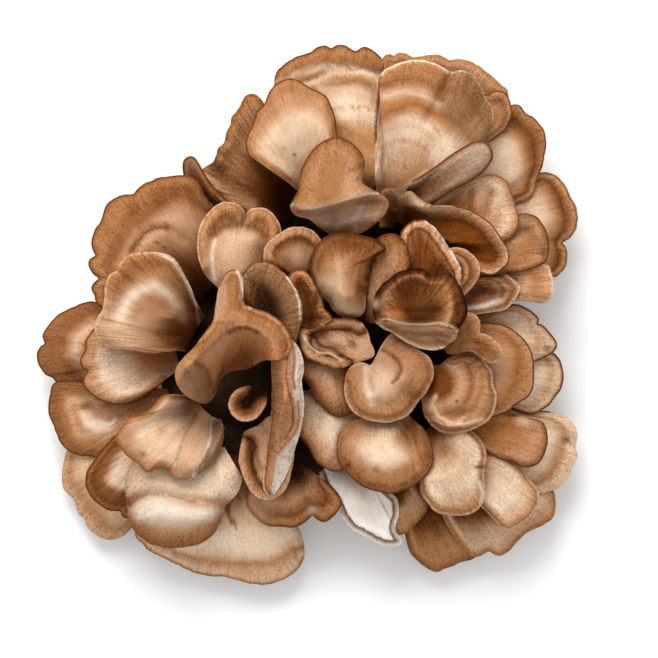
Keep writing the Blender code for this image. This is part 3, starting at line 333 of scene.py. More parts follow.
            "84,54 85,61"), (2, 3, "93,50 95,57"), (-2, 1.6, "80,50 81,62"), (-2, 1.6, "89,50 91,61")]),
    frond("left_middle_fan", "tan", 68, 6, 0.6, (-54, -10), "-56,6 -59,14 -62,20 -66,27 -71,30.5 "
          "-77,31.5 -83,31 -89,30 -92.5,27 -95,22.5 -99,20 -100.5,15 -101,8 -102,3 -105,-2 -106,-6 "
          "-105,-10 -102,-13 -97,-15.5 -90,-16 -83,-17 -76,-18 -66,-17", stalk=24, arc=0.3, streaks=1,
          veins=1.2, ruffle=2, wrinkle=1.1,
          zones="sand 0.4 tan 1.2 ochre 4 brown 7 brown 12 ochre 17 tan 22 tan 34 tan",
          # The deep spot at (-60, -10) paints shade near the root, under left_twisted_frond.
          spots=[(-60, -10, 12, "deep", 0.98), (-66, -4, 12, "orange", 0.6), (-90, -8, 14, "cream", 0.7),
            (-97, -4, 8, "cream", 0.5)],
          # The thin white line along the right margin paints a highlight where light catches the edge.
          lines=[("white", 0.7, 0.97, "-73,30.5 -67,27.5 -62,20 -59,13 -56,5 -54,-6"), ("pale", 3.2, 0.9,
            "-93,0 -90,7 -84,13 -76,15 -68,10 -62,0"), ("ochre", 2.5, 0.5, "-86,0 -82,7 -76,9 -70,4")]),
    frond("front_left_curled_frond", "flesh", 56, 6, 0.62, (-54, -60), "-84,-70 -90,-78 -90,-90,-3 "
          "-89,-102,-8 -84,-110,-12 -78,-114,-14 -70,-115.5,-14 -62,-115,-14 -54,-113,-14 -48,-109,-12 "
          "-44.5,-103,-8 -42,-95,-3 -36,-88 -33,-80", stalk=30, arc=0, streaks=1.1, veins=0.3, shade=0.5,
          roll=0, furrow=0, turn=1.8, zones="brown 0.5 brown 3 ochre 7 tan 10 sand 15 sand",
          patches=[("pale", 8, 0.9, "-90,-60 -30,-60 -30,-92 -60,-90 -90,-88"), ("sand", 12, 0.6,
            "-92,-60 -74,-62 -66,-84 -90,-86"), ("pale", 10, 0.6, "-62,-84 -46,-80 -36,-84 -44,-92 "
            "-60,-90"), ("white", 7, 0.85, "-88,-97 -86,-93 -80,-91 -73,-91 -65,-93 -57,-95 -49,-95.5 "
            "-44,-97 -47,-101 -60,-104 -76,-103 -86,-101")],
          lines=[("umber", 0.7, 0.6, "-89,-95 -85,-91 -79,-89 -72,-89 -64,-91 -56,-93"), ("brown", 3, 0.6,
            "-82,-112 -70,-114 -58,-112")],
          folds=[(6, 8, "-82,-102 -76,-101 -65,-101 -55,-102 -49,-103"), (-4, 2.2, "-89,-95 -85,-91 "
            "-79,-88.5 -72,-88.5 -64,-90.5 -56,-92.5 -48,-93.5 -42,-92")]),
    frond("left_bright_frond", "tan", 70, 5, 0.6, (-50, -44), "-60,-40 -71,-40 -76,-45 -81,-49 -88,-51 "
          "-92,-55 -95,-60 -93,-65 -89,-70 -84,-73 -80,-77.5 -76,-75.5 -71,-75.5 -66,-80 -62,-81 "
          "-57,-79.5 -49,-74,-2 -45,-68,-4 -43,-62,-4 -42,-55,-2", stalk=20, streaks=0.55, shade=0.8,
          rest_turn=1, zones="brown 0.6 ochre 2 tan 5 sand 8 cream 12 cream 20 cream 28 tan 36 rust",
          patches=[("sand", 2, 0.8, "-53,-42 -42,-48 -49,-52 -49,-62 -53,-73 -59,-81 -67,-80 -65,-72 "
            "-61,-60 -55,-48"), ("grey", 1.5, 0.8, "-49,-51 -38,-46 -38,-66 -48,-80 -57,-81 -53,-75 "
            "-49.5,-65")],
          spots=[(-56, -41, 8, "rust", 0.8), (-73, -57, 3.5, "orange", 0.5),
            (-82, -69, 1.6, "umber", 0.8), (-62, -78, 4, "brown", 0.6)],
          lines=[("brown", 0.8, 0.5, "-54,-46 -58,-53 -62,-61 -65,-70 -66,-79"), ("white", 0.6, 0.95,
            "-43,-49 -48.5,-52 -48.5,-60 -50,-67 -53,-74 -57,-79.5"), ("dark", 0.6, 0.8, "-49.5,-66 "
            "-52,-72 -55.5,-77.5")],
          folds=[(-2.5, 4, "-50,-42 -57,-55 -63,-66 -66,-76"), (2, 5, "-50,-48 -55,-60 -58,-72")],
          cliffs=[(4, 2.5, "-49,-51 -36,-45 -36,-66 -48,-82 -58,-82 -53,-75 -49.5,-65")]),
    frond("front_right_ridge_frond", "tan", 60, 7, 0.55, (58, -54), "56,-80 57,-88 60,-92.5 64,-97 "
          "70,-99 77,-98.5 83,-97 86.5,-93 88,-88 87.5,-82 88,-75 88.5,-68 86,-62 80,-56",
          zones="sand 1.2 ochre 2.5 tan 6 cream 10 pale 18 cream 26 tan 36 umber",
          spots=[(67, -67, 4, "brown", 0.7), (72, -94, 8, "ochre", 0.4)],
          # The white line along the right margin paints a highlight where light catches the edge.
          lines=[("white", 0.9, 0.9, "85.5,-83 87,-88 86,-93"), ("deep", 0.7, 0.9, "84,-75.5 88,-75.5")],
          folds=[(2.5, 4, "72,-58 76,-66 74,-76 66,-80"), (-2, 1, "84,-75.5 89,-75.5")]),
    frond("front_middle_frond", "cream", 60, 4, 0.6, (8, -58), "-7,-40,-4 -8,-48 -7,-56 -3,-61 1,-66 "
          "4,-71 8,-75 13,-77 18,-76 22,-71 26,-60 27,-50 20,-42,-4 6,-37,-6", True, source=(8, -40),
          shade=0.6, zones="umber 0.8 ochre 3 tan 6 sand 9 cream 13 pale",
          # The umber spot at (6, -46) paints the shadow of centre_front_frond on the top of this cap.
          spots=[(6, -46, 8, "umber", 0.6), (16, -71, 6, "brown", 0.5)],
          folds=[(2, 5, "12,-50 8,-62 10,-72")]),
    frond("right_striped_frond", "cream", 70, 6, 0.6, (76, -38), "61,-26 66,-25 70,-22 75,-19.5 80,-18.5 "
          "85,-20 88,-23 90.5,-28 92,-34 93.5,-40 92.5,-46 90,-51 86,-54 80,-56.5,-3 73,-58,-3 "
          "67,-57.5,-3 62,-54.5,-3 58.5,-49 57.5,-42 58.5,-33", True, source=(60, -34),
          rings=(65, -33, 28), stray=0.5,
          zones="sand 1 brown 3.5 tan 6 ochre 8 tan 11 brown 13.5 tan 16 sand 19 tan 22 rust",
          lip="brown 1 brown 4 umber 5 white 6 sand 7.5 umber 9 brown 12 tan 15 ochre",
          spots=[(74, -42.5, 0.8, "deep", 0.95), (66, -33, 7, "rust", 0.6), (82, -23, 6, "umber", 0.5)],
          lines=[("cream", 1.2, 0.95, "63.5,-40 62.5,-45 65,-50 70,-53 78,-54 87,-51.5")],
          folds=[(2, 2, "62,-41 60.5,-48 64,-53 72,-55 86,-52"), (-2.5, 3, "65,-44 68,-49 78,-50")]),
    # Inner fronds
    frond("back_fold_lobe", "grey", 80, 4, 0.6, (48, 58), "52,67 58,70 64,74 70,78.5 76,82.5 82,85.5 "
          "87,86 90.5,84 91.5,80.5 90,76 87,72 83,69 78,66 72,63 62,56",
          zones="umber 0.35 brown 1.6 lilac 4 lilac 14 grey",
          spots=[(60, 65, 9, "umber", 0.6)],
          folds=[(3, 6, "58,64 74,72 86,80")]),
    frond("right_folded_frond", "brown", 74, -6, 0.5, (48, 38), "36,44,2 35,52,5 37,61,8 42,62.5,7 "
          "46,60,4 51,61.5,8 55,58,7 62,54.5,6 70,54.5,6 78,53,6 85,50,6 91,45,5 96,38,4 99.5,31,3 "
          "98.5,26,4 92,21,5 86,22,5 80,24,5 72,22,3 60,24", stalk=20, arc=0, stray=0.4, streaks=1.2,
          shade=0.6, wrinkle=0.4,
          zones="umber 0.35 sand 1.6 tan 4.6 brown 6 umber 9 rust 14 rust 20 brown 34 umber",
          patches=[("tan", 3, 0.75, "36,62 42,63 49,57 47,42 40,40")],
          lines=[("cream", 2, 0.7, "50,60 55,55 62,52.5 70,53.5")],
          folds=[(-3, 6, "66,44 80,40 88,30")]),
    frond("right_curl_high", "tan", 78, 3, 0.6, (62, 20), "68,31 72,33.5 77,33 81,30.5 84,27 85,22 83,17 "
          "79.5,12.5 74,9 68,8", zones="sand 0.8 tan 2.5 brown 4 umber 5.5 tan 8 dark"),
    frond("front_kidney_cap", "tan", 68, 7, 0.6, (38, -68), "39,-50,-5 47,-49,-5 53,-53,-2 58,-58 "
          "61.5,-64 62,-71 60,-77 55,-82 48,-86 41,-88 33,-86.5 26,-83 20,-78 16,-72 14.5,-66 15.5,-60 "
          "19,-55.5 24,-52.5 31,-51", True, source=(36, -24), roll=1,
          zones="umber 0.35 brown 3 brown 6 ochre 9 tan 12 sand 15 cream 18 pale 22 cream",
          patches=[("pale", 7, 0.6, "22,-63 34,-61 46,-66 50,-72 38,-75 26,-72")],
          # The umber spot at (48, -57) paints the shadow of crown_kidney_cap on the top of this cap.
          spots=[(48, -57, 7, "umber", 0.7), (32, -56, 7, "ochre", 0.6), (20, -62, 6, "tan", 0.6),
            (20, -74, 1.5, "dark", 0.7), (34, -76, 1.5, "umber", 0.6), (28, -77, 1.2, "dark", 0.5),
            (53, -80, 1, "dark", 0.6)],
          folds=[(-3, 3, "49,-52 51,-58 52,-64"), (2, 3, "54,-55 56,-62 57,-68")]),
    frond("centre_front_frond", "tan", 68, 4, 0.6, (11, -34), "-6,-18,-6 6,-18,-8 18,-20,-4 22,-26 "
          "21,-32 20,-38 22,-43 22,-47.5 17,-49.5 12,-48.5 8,-45 4,-39 0,-33 -6,-27", True,
          source=(12, -18), zones="umber 0.6 brown 2 ochre 5 tan 9 sand 14 cream",
          spots=[(2, -40, 5, "ochre", 0.7), (16, -46, 5, "umber", 0.7), (16, -32, 4, "brown", 0.5)],
          folds=[(2, 4, "6,-26 12,-36 15,-45")]),
    frond("left_notched_cap", "cream", 76, 5, 0.6, (-36, 34), "-46,16,-4 -51,22 -53.5,28 -54.5,35 -54,42 "
          "-52,47 -48,52 -44,55 -40,56 -35,55 -32.5,52.5 -31,49 -28.5,52.5 -22,53 -18,50 -14.5,45 -14,39 "
          "-16,31,-4 -20,22,-10 -28,14,-14 -38,10,-12", True, source=(-38, 6), roll=1.4, furrow=1.5,
          zones="sand 0.4 ochre 1.5 tan 4 ochre 6 brown 9 brown 14 ochre",
          patches=[("sand", 6, 0.95, "-49,18 -50,28 -48,37 -43,42 -36,42 -28,42 -21,37 -19,29 -23,20 "
            "-34,12 -44,12")],
          # The umber spot at (-22, 33) paints shade on the right side of the hollow.
          spots=[(-36, 47, 5, "umber", 0.7), (-22, 33, 6, "umber", 0.75), (-34, 39, 6, "cream", 0.6),
            (-40, 33, 7, "cream", 0.6), (-30, 20, 7, "pale", 0.7), (-33, 29, 6, "tan", 0.5)],
          # The white line down the left side paints a highlight.
          lines=[("white", 1, 0.8, "-46,38 -47.5,32 -47.5,24 -46,18"), ("umber", 1.6, 0.6, "-47,40 "
            "-42,44.5 -34,45.5 -27,44.5 -21,40")],
          folds=[(-2.5, 3.5, "-48,40 -42,45 -34,46 -24,45"), (-2, 1, "-31,51 -31.5,47")]),
    frond("centre_left_cap", "tan", 80, 5, 0.6, (-8, 31), "-15,20,-8 -21,26 -21.5,32 -19,36 -14,40.5 "
          "-8,43.5 -3,43.5 2,42 5.5,38 8,32 9,24,-6 4,16,-10 -6,14,-12", True, source=(-4, 14), roll=1.4,
          furrow=1.5, zones="sand 0.4 tan 2 tan 4 brown 6.5 umber 9 brown 14 brown",
          patches=[("grey", 5, 0.6, "-17,26 -15,32 -9,36 -2,36.5 4,33 6,26 2,18 -8,16")],
          spots=[(-15, 24, 3.5, "rust", 0.7), (-2, 20, 5, "umber", 0.5), (-4, 30, 4, "sand", 0.6)],
          lines=[("umber", 1.4, 0.6, "-16,33 -10,37 -2,37.5 4,35")],
          folds=[(-2, 2.5, "-15,33 -10,37 -3,38 2,34")]),
    frond("front_left_rolled_frond", "brown", 60, -2, 0.6, (-23, -73), "-25,-55,3 -31,-58,3 -33,-66,3 "
          "-33.5,-74,3 -31,-82,3 -27,-88,3 -21,-91,2 -13,-88 -9,-80 -8,-68 -11,-56 -18,-50,2", True,
          source=(-20, -58), zones="sand 1.5 tan 4 brown 5.5 dark 7 tan 9 sand",
          folds=[(2, 2.5, "-31,-60 -31.5,-72 -28,-84"), (-4, 2, "-28,-62 -27,-70 -25,-77")]),
    frond("left_small_cup", "brown", 66, -2, 0.4, (-30, -44), "-39,-46,6 -38,-40,6 -34,-36.5,6 "
          "-28,-35.5,6 -23,-36,6 -20.5,-40,6 -21.5,-45,6 -25,-50,6 -31,-52,6 -36,-50.5,6", True,
          source=(-24, -36), zones="sand 1 tan 3 brown 5 umber 6.5 deep"),
    # Crown
    frond("crown_front_lip_frond", "tan", 86, 2, 0.45, (14, 64), "27,65,2 27,71,4 27.5,77,5 25.5,81,5 "
          "22,84.5,5 18,87,5 13,88,5 7,85.5,5 2.5,81.5,5 -1,76,4 -3,70,3 -4.5,62 -8,55,-3 -6,50.5,-8 "
          "1,48.5,-14 6,44.5,-15 12,41,-16 17,40.3,-16 23,41,-16 28,42.5,-15 32,45,-14 36,48.5,-11 "
          "39,53,-6 38.5,58,-2", True, source=(12, 50), stray=0.5, lobes=0.6,
          zones="umber 0.35 brown 3 ochre 6 tan 10 ochre 16 ochre",
          patches=[("sand", 10, 0.6, "16,58 30,62 30,72 18,68"), ("tan", 2, 0.95, "-12,54.5 -6,53 "
            "-2,51.5 4,52 10,53.5 20,56.5 30,59 40,60 60,50 20,10 -20,40")],
          spots=[(30, 78, 6, "brown", 0.5), (0, 66, 4, "ochre", 0.5)],
          lines=[("brown", 1.6, 0.8, "-6,51.5 4,50.5 12,52 20,54.5 30,57 38,57"), ("pale", 0.5, 0.9,
            "-8,55 -2,53 4,53.3 10,54.8 20,57.8 30,60.3 38,61"), ("lilac", 5, 0.45, "0,49 14,49 32,56"),
            ("white", 1.6, 0.4, "13,42 17,46 23,48 31,50"), ("white", 1.2, 0.3, "8,46 17,46"),
            ("umber", 2.5, 0.5, "26,56 34,57"), ("white", 1.1, 0.35, "23,48 27,54"), ("white", 1, 0.35,
            "23,48 24,43"), ("brown", 0.8, 0.7, "-4,51 4,45 12,41.5 22,41.5 31,44 37,50")],
          folds=[(1.6, 1.3, "-8,55.5 -2,53.5 4,54 10,55.5 20,58.5 30,61 38,61.5"), (-2, 1.6, "27.5,74 "
            "22,71"), (2, 4, "10,60 9,70 7,80")],
          cliffs=[(17, 15, "-12,56 -6,54 -2,52.5 4,53 10,54.5 20,57.5 30,60 40,61 60,50 20,10 -20,40")]),
    frond("crown_streaked_frond", "brown", 84, 3, 0.6, (57, 30), "43,16,-6 43,28 45,34 46,39 48,43 "
          "52,46.5 57,47 61,45 65,40.5 69,35 72,30 75,24 76,18 72,10,-4 60,6,-8 49,8,-8", True,
          source=(54, 6), stray=0.15, streaks=1.1, veins=1.6, wrinkle=0.9,
          zones="umber 0.3 tan 1 sand 2.6 tan 3.4 umber 5 brown 8 umber 13 rust",
          spots=[(50, 24, 5, "dark", 0.7), (64, 22, 5, "dark", 0.7)],
          # The thin white line along the upper right margin paints a highlight where light catches the
          # edge.
          lines=[("white", 0.5, 0.95, "58,46.8 62,44.2 66,39.6 70,33.6 73,28 75.5,23")]),
    frond("crown_side_lobe", "brown", 80, 3, 0.6, (37, 21), "24,2,-14 24,12,-8 26,22,-4 29,30 33,36 "
          "38,39.5 43,40 48,36 50,28 49,18 46,8,-4 40,0,-10 32,-3,-14", True, source=(36, 4), streaks=1.3,
          wrinkle=0.8, zones="umber 1.5 brown 4 ochre 8 tan",
          spots=[(40, 34, 4, "umber", 0.6)],
          lines=[("deep", 1.3, 0.9, "35,37 32.5,28 30,21 28.5,9 27.5,-2")]),
    frond("crown_round_cap", "tan", 90, 6, 0.55, (18, 23), "11,7,-10 7,10,-6 4.5,14 2.5,19 1.5,25,-2 "
          "3,31,-3 6,36,-4 10,39,-4 16,40.3,-4 22,40,-4 28,39,-4 33,37.5,-3 37,35,-2 38,33 33,29.5 "
          "30.5,26 29.5,20 28.5,12,-4 27,2,-12 20,-1,-14 14,2,-12", True, source=(18, -4), streaks=1,
          roll=1.4, furrow=1.5,
          zones="dark 0.8 umber 2 brown 4 umber 6 brown 8 ochre 11 tan 14 sand 18 cream",
          # The umber spots along the top, at (20, 36), (13, 35) and (30, 34), paint the shadow of
          # crown_front_lip_frond.
          spots=[(20, 36, 7, "umber", 0.95), (13, 35, 5, "umber", 0.5), (30, 34, 6, "umber", 0.6),
            (26, 26, 5, "brown", 0.5), (8, 33, 5, "brown", 0.5), (12, 14, 7, "cream", 0.9),
            (26, 14, 7, "brown", 0.4)]),
    frond("crown_rolled_frond", "brown", 78, -3, 0.5, (15, -13), "33,-19,2 27,-22,3 20,-24.5,4 "
          "12,-25.5,4 4,-23,4 -2,-19,4 -4,-14,4 -4,-8,4 0,-5,4 6,-2.5,4 14,-1.5,4 21,-1,4 26,-3.5,2 "
          "29,-8 31,-14", True, source=(36, -20), streaks=1.2, lobes=1.8,
          zones="umber 0.35 brown 2 sand 4.5 brown 6 dark 7.5 tan 9.5 sand",
          spots=[(7, -9, 3, "umber", 0.8), (22, -14, 2.5, "umber", 0.7)],
          lines=[("dark", 1.3, 0.85, "2,-9 6,-14.5 12,-16.5 17,-19.5"), ("pale", 0.5, 0.9, "-2,-10 "
            "0.5,-15 5,-18 11,-18.6 17,-22"), ("pale", 0.6, 0.9, "29,-5 31,-11 33.5,-18")],
          folds=[(3, 2, "-1,-12 3,-15 8,-20 17,-22"), (-3, 3, "4,-9 9,-15 16,-18"), (-2, 1.6, "20,-8 "
            "22,-16")]),
    frond("crown_kidney_cap", "cream", 80, 8, 0.55, (40, -33), "42,-9 46,-12 51,-15 56,-18 60,-21 62,-26 "
          "61.5,-31 59,-36 56,-41 52,-46 47,-50 40,-52.5 33,-52 27,-50 22,-46 19.5,-41 19,-35 20,-29 "
          "23,-25 27,-23.5 31,-25 34,-21 37,-15", True, source=(33, -22), roll=1.4, furrow=1.5,
          zones="sand 0.6 tan 2.5 brown 4.5 ochre 6 ochre 8 tan 11 tan 14 sand 20 cream",
          spots=[(52, -38, 5, "umber", 0.75), (48, -22, 9, "tan", 0.8), (56, -28, 5, "brown", 0.4),
            (34, -36, 6, "pale", 0.4)],
          lines=[("umber", 0.9, 0.8, "37,-17 42,-19.5 45.5,-23 46.5,-27 44.5,-31 42,-33"),
            ("pale", 1.8, 0.7, "29,-26 29,-32 30,-38 32,-43")],
          folds=[(-2.5, 2, "28,-25 29,-31 31,-37"), (-2, 1.6, "37,-17 42,-19.5 45.5,-23 46.5,-27 "
            "44.5,-31"), (1.5, 2.5, "24,-26 24,-34 27,-42")]),
    frond("right_small_lobes", "tan", 78, 3, 0.6, (80, -11), "68,-8,-6 72,-2 77,1 82,0.5 85,-3 85,-8.5 "
          "89,-10 93,-13 96,-17 95.5,-21 91,-23 86,-20 80,-17 70,-18,-6", True, source=(72, -14),
          stray=0.4, zones="sand 0.4 tan 2 ochre 4.5 brown 8 ochre",
          spots=[(87, -16, 4, "umber", 0.6)],
          folds=[(-2.5, 1.5, "83,-4 84,-14")]),
    frond("crown_small_ear", "cream", 86, 3, 0.6, (-1, 11), "-8,2,-6 -10,10 -10,17 -7,21 -3,22 0,20.5 "
          "3,16 6,10 7.5,4 12,-2,-6 6,-5,-10 -2,-5,-10", True, source=(-9, -2), streaks=1.3,
          zones="umber 0.35 tan 1.8 ochre 3.5 rust 6 dark 9 umber",
          lines=[("dark", 1.2, 0.8, "4.5,12 4,6 0,-2")]),
    frond("crown_left_dark_frond", "brown", 86, 5, 0.55, (-17, 9), "-35,2,-10 -33.5,12 -32,19 -28,25 "
          "-22,27 -16,24.5 -11,19.5 -7,14.5 -4,8.5 -3,2 -4,-4 -6,-12 -10,-17,-6 -18,-12,-14 "
          "-28,-6,-16", True, source=(-28, -6), streaks=1.4, veins=1,
          zones="umber 0.4 tan 0.9 grey 4 brown 7 umber 9 dark 13 deep",
          # Painted light and shade: the grey band lightens the lit right face, the deep band darkens the
          # unlit left part, and the thin white line along the right margin is a painted highlight.
          lines=[("grey", 4.5, 0.6, "-24,22 -16,18 -10,10 -8.5,0"), ("deep", 3, 0.6, "-28,18 -24,10 "
            "-18,0"), ("white", 0.5, 0.9, "-12,21.5 -7,14.5 -4.2,7 -3.8,-2")],
          folds=[(-3, 4, "-26,20 -20,8 -15,-2")]),
    frond("left_long_wall", "flesh", 90, 2, 0.1, (-11, -38), "-12.5,-12 -8,-12,-3 -4,-18,-8 -2.5,-26,-10 "
          "-4,-33,-8 -3,-40,-10 -2.8,-47,-12 -4,-56,-16 -7,-66,-24 -10,-76,-30 -14,-84,-32 -19,-90,-32 "
          "-22,-84,-34 -21,-74,-34 -20,-64,-30 -18.5,-54,-26 -17.5,-44,-24 -17,-34,-22 -17.5,-26,-16 "
          "-17,-17,-8", True, source=(-70, -30), stray=0.5, veins=0.4, lobes=1.2, wrinkle=0.4, turn=0.9,
          zones="sand 0.6 brown 2 tan 5 tan",
          patches=[("white", 1.2, 0.97, "-9.8,-12 -9,-14 -8.4,-22 -9,-31 -7.5,-38 -5.6,-45 -5.5,-54 "
            "-9.5,-62 -15.3,-69 -16.4,-76 -18.4,-88 0,-95 10,-50 5,-14")],
          lines=[("orange", 1, 0.95, "-8,-12 -7,-17 -6.6,-23 -7.4,-31 -6.4,-36"), ("orange", 0.8, 0.9,
            "-4.9,-43 -4.4,-50 -5.4,-56 -9,-61.5 -13.5,-66.5"), ("rust", 0.6, 0.8, "-10.6,-13 -10.2,-22 "
            "-10.6,-31 -9.2,-38 -7.4,-46 -7.4,-54 -11,-61"), ("brown", 4, 0.5, "-16,-14 -15.5,-30 "
            "-15,-50 -17,-66")],
          folds=[(3, 1.6, "-11,-7 -9.5,-14 -9,-22 -9.5,-31 -8,-38 -6,-45 -6,-54 -10,-62 -15.5,-68.5 "
            "-17,-76 -19,-88"), (-2, 1.1, "-7.6,-14 -6.8,-22 -7.4,-31 -6.2,-37")]),
    frond("left_twisted_frond", "tan", 94, 2, 0.3, (-37, -3), "-33,20,4 -36.5,22.5,4 -40,21,4 -43,15,2 "
          "-45,6 -46,-2,-2 -50,-8,-2 -56,-16,-5 -61,-21,-9 -65,-27,-15 -64,-34,-20 -59,-40,-24 "
          "-52,-43,-28 -47,-39,-32 -44,-31,-36 -38,-27,-38 -30,-26,-38 -22,-21.5,-30 -17.5,-21.5,-6 "
          "-13,-21,-3 -9,-17,-2 -9,-11 -13,-4 -20,1 -28,3.5 -32,6 -32.5,13,3", True, source=(-38, -70),
          stray=0.5, streaks=0.9, lobes=0.6, wrinkle=0.4, roll=0.3, furrow=0.2, droop=0.4, rest_turn=0.35,
          zones="brown 0.6 tan 2 brown 5 ochre 9 tan",
          patches=[("orange", 6, 0.55, "-56,-25 -48,-17 -40,-10 -34,-7 -24,-10 -15,-17 -20,-40 -50,-40"),
            ("sand", 5, 0.6, "-54,-22 -47,-15 -40,-9.5 -36,-8 -38,-14 -45,-20 -50,-25"), ("sand", 3, 0.7,
            "-45,14 -40.5,16 -40,6 -42,-2 -47,-2")],
          spots=[(-58, -30, 6, "grey", 0.85), (-54, -36, 6, "grey", 0.9), (-30, -20, 7, "rust", 0.5)],
          # Of these lines, the thin white one along the right margin of the upper end paints a highlight
          # where light catches the edge.
          lines=[("umber", 1.2, 0.8, "-39,-8.5 -35,-6 -30,-6 -25,-8"), ("white", 0.6, 0.97, "-35,22 "
            "-33,18 -32.3,12 -31.2,6.5 -28.5,4"), ("dark", 0.8, 0.6, "-48,-34 -50,-27 -55,-23")],
          folds=[(2, 3, "-61,-24 -56,-18 -48,-10 -41,-3.5 -34,-0.5 -26,-1.5 -19,-5.5 -13,-11"), (2.5, 2.5,
            "-40,18 -40,8 -39,-2"), (10, 6, "-58,-29 -55,-35"), (-3, 1.6, "-49,-33 -50,-27 -54,-23")],
          cliffs=[(34, 17, "-61,-27 -56,-22 -48,-14 -41,-8 -36,-5 -30,-5 -24,-7.5 -19,-12 -17.5,-17 "
            "-17.3,-30 -17,-60 -70,-60 -66,-40")]),
    frond("crown_centre_disc", "brown", 98, -5, 0.5, (54, 6), "32.5,3 33.5,9 37,14.5 42,19 47,22 52,23 "
          "57,22 61,19.5 66,20.8 70,20.5 73,18 76,13 78,8 78.5,3 77,-2 74.5,-7,-4 72,-12.5,-9 "
          "67,-15.5,-12 61,-16.5,-13 56,-15.5,-13 50,-12.5,-12 44,-9.5,-10 38.5,-6.5,-6 34.5,-3,-2", True,
          source=(52, -4), rings=(54, 6, 22), stray=0.45, streaks=1.5, veins=1.4, lobes=1.4, wrinkle=0.5,
          rest_turn=0.15, zones="deep 1 dark 3 umber 5.5 tan 9 brown 12 umber 15 dark 19 umber 23 rust",
          # The umber patch and the dark and umber spots at (50, 12) and (58, 9) paint shade in the hollow
          # of the disc; the orange spot at (44, 2) paints a highlight, in the disc's orange, at its front
          # left.
          patches=[("umber", 8, 0.7, "42,16 58,18 66,12 60,3 46,5"), ("sand", 1.6, 0.9, "28,-1.5 35,-3 "
            "39,-2.4 44,-4.2 50,-5.2 58,-5.4 65,-4.6 70,-6.1 75,-8.6 90,-10 80,-40 20,-40")],
          spots=[(33.5, 6, 2, "cream", 0.6), (66, 13, 6, "ochre", 0.6), (44, 2, 4, "orange", 0.8),
            (60.5, 7.5, 1, "deep", 0.8), (50, 12, 7, "dark", 0.75), (58, 9, 6, "umber", 0.6)],
          lines=[("umber", 1.6, 0.7, "38,-4.5 46,-7.5 54,-9 62,-9 70,-10"), ("brown", 2, 0.7, "42,-7 "
            "50,-11 58,-13 68,-13"), ("pale", 0.5, 0.9, "35,-2.2 39,-1.4 44,-3.2 50,-4.2 58,-4.4 65,-3.6 "
            "70,-5 74,-7.4"), ("pale", 0.6, 0.9, "36,-5 44,-9.7 50,-12.8 56,-15.5 62,-16.4 70,-15")],
          folds=[(2.2, 1.5, "34,-1.5 38,-0.8 44,-2.4 50,-3.4 58,-3.6 65,-3 72,-5.5"), (-3, 3, "40,2.5 "
            "48,1 56,1 64,1.5"), (-1.8, 2.5, "62,19 59,15")],
          cliffs=[(15, 12, "28,-1 35,-2.5 39,-1.8 44,-3.6 50,-4.6 58,-4.8 65,-4 70,-5.5 75,-8 90,-10 "
            "80,-40 20,-40")]),
]


# ---------------------------------------------------------------- noise and curves


def linear(name):
    """A named colour, from sRGB bytes to linear light."""
    share = np.array(COLOURS[name]) / 255
    return ALBEDO * np.where(share <= 0.04045, share / 12.92, ((share + 0.055) / 1.055) ** 2.4)


def point_list(text):
    """Points as tuples of numbers, from text such as "30,112 36,123,-6"."""
    return [tuple(float(number) for number in point.split(",")) for point in text.split()]


def lattice(x, y, z):
    """A fixed number from 0 to 1 for every whole-numbered place."""
    mixed = (x * 374761393 + y * 668265263 + z * 1442695041) & 0xFFFFFFFF
    mixed = ((mixed ^ (mixed >> 13)) * 1274126177) & 0xFFFFFFFF
    return ((mixed ^ (mixed >> 16)) & 0xFFFF) / 65535.0


def noise(x, y, z=0.0):
    """Smooth noise from -1 to 1 over arrays of coordinates."""
    x, y, z = np.broadcast_arrays(x, y, z)
    cell = [np.floor(c).astype(np.int64) for c in (x, y, z)]
    part = [c - f for c, f in zip((x, y, z), cell)]
    ease_in = [p * p * (3 - 2 * p) for p in part]
    total = np.zeros(x.shape)
    for i in (0, 1):
        for j in (0, 1):
            for k in (0, 1):
                weight = ((ease_in[0] if i else 1 - ease_in[0]) * (ease_in[1] if j else 1 - ease_in[1])
                          * (ease_in[2] if k else 1 - ease_in[2]))
                total = total + weight * lattice(cell[0] + i, cell[1] + j, cell[2] + k)
    return 2 * total - 1


def ease(x, start=0.0, width=1.0):
    """0 up to start and 1 from start + width on, with a smooth rise between them."""
    x = np.clip((x - start) / width, 0, 1)
    return x * x * (3 - 2 * x)


def bell(x, width):
    return np.exp(-(x / width) ** 2)


def unit(vectors, least):
    """Vectors (the last axis) at length 1; those shorter than least are only divided by it."""
    return vectors / np.maximum(np.linalg.norm(vectors, axis=-1), least)[..., None]


def smooth_curve(points, count, closed):
    """count + 1 points, evenly spread along a smooth curve through the points given."""
    points = np.array([tuple(p) + (0,) * (3 - len(p)) for p in points], dtype=float)
    if closed:
        before, after, end = points[-1], points[:2], points[:1]
    else:
        before, after, end = 2 * points[0] - points[1], [2 * points[-1] - points[-2]], points[-1:]
    knots = np.vstack([before, points, after])
    share = np.linspace(0, 1, CURVE_STEPS, endpoint=False)[:, None]
    curve = []
    for a, b, c, d in zip(knots, knots[1:], knots[2:], knots[3:]):
        curve.append(0.5 * (2 * b + (c - a) * share + (2 * a - 5 * b + 4 * c - d) * share ** 2
                            + (3 * b - a - 3 * c + d) * share ** 3))
    curve = np.vstack(curve + [end])
    run = np.concatenate([[0], np.cumsum(np.linalg.norm(np.diff(curve[:, :2], axis=0), axis=1))])
    even = np.linspace(0, run[-1], count + 1)
    return np.stack([np.interp(even, run, curve[:, k]) for k in range(3)], axis=1)


def distance_to_line(plan, points):
    """Distance in plan from each grid point to a line through the points given."""
    points = np.array(points)
    best = np.full(plan.shape[:-1], 1e9)
    for a, b in zip(points, points[1:]):
        along = b - a
        share = np.clip(((plan - a) @ along) / max(along @ along, 1e-9), 0, 1)
        best = np.minimum(best, np.linalg.norm(plan - a - share[..., None] * along, axis=-1))
    return best


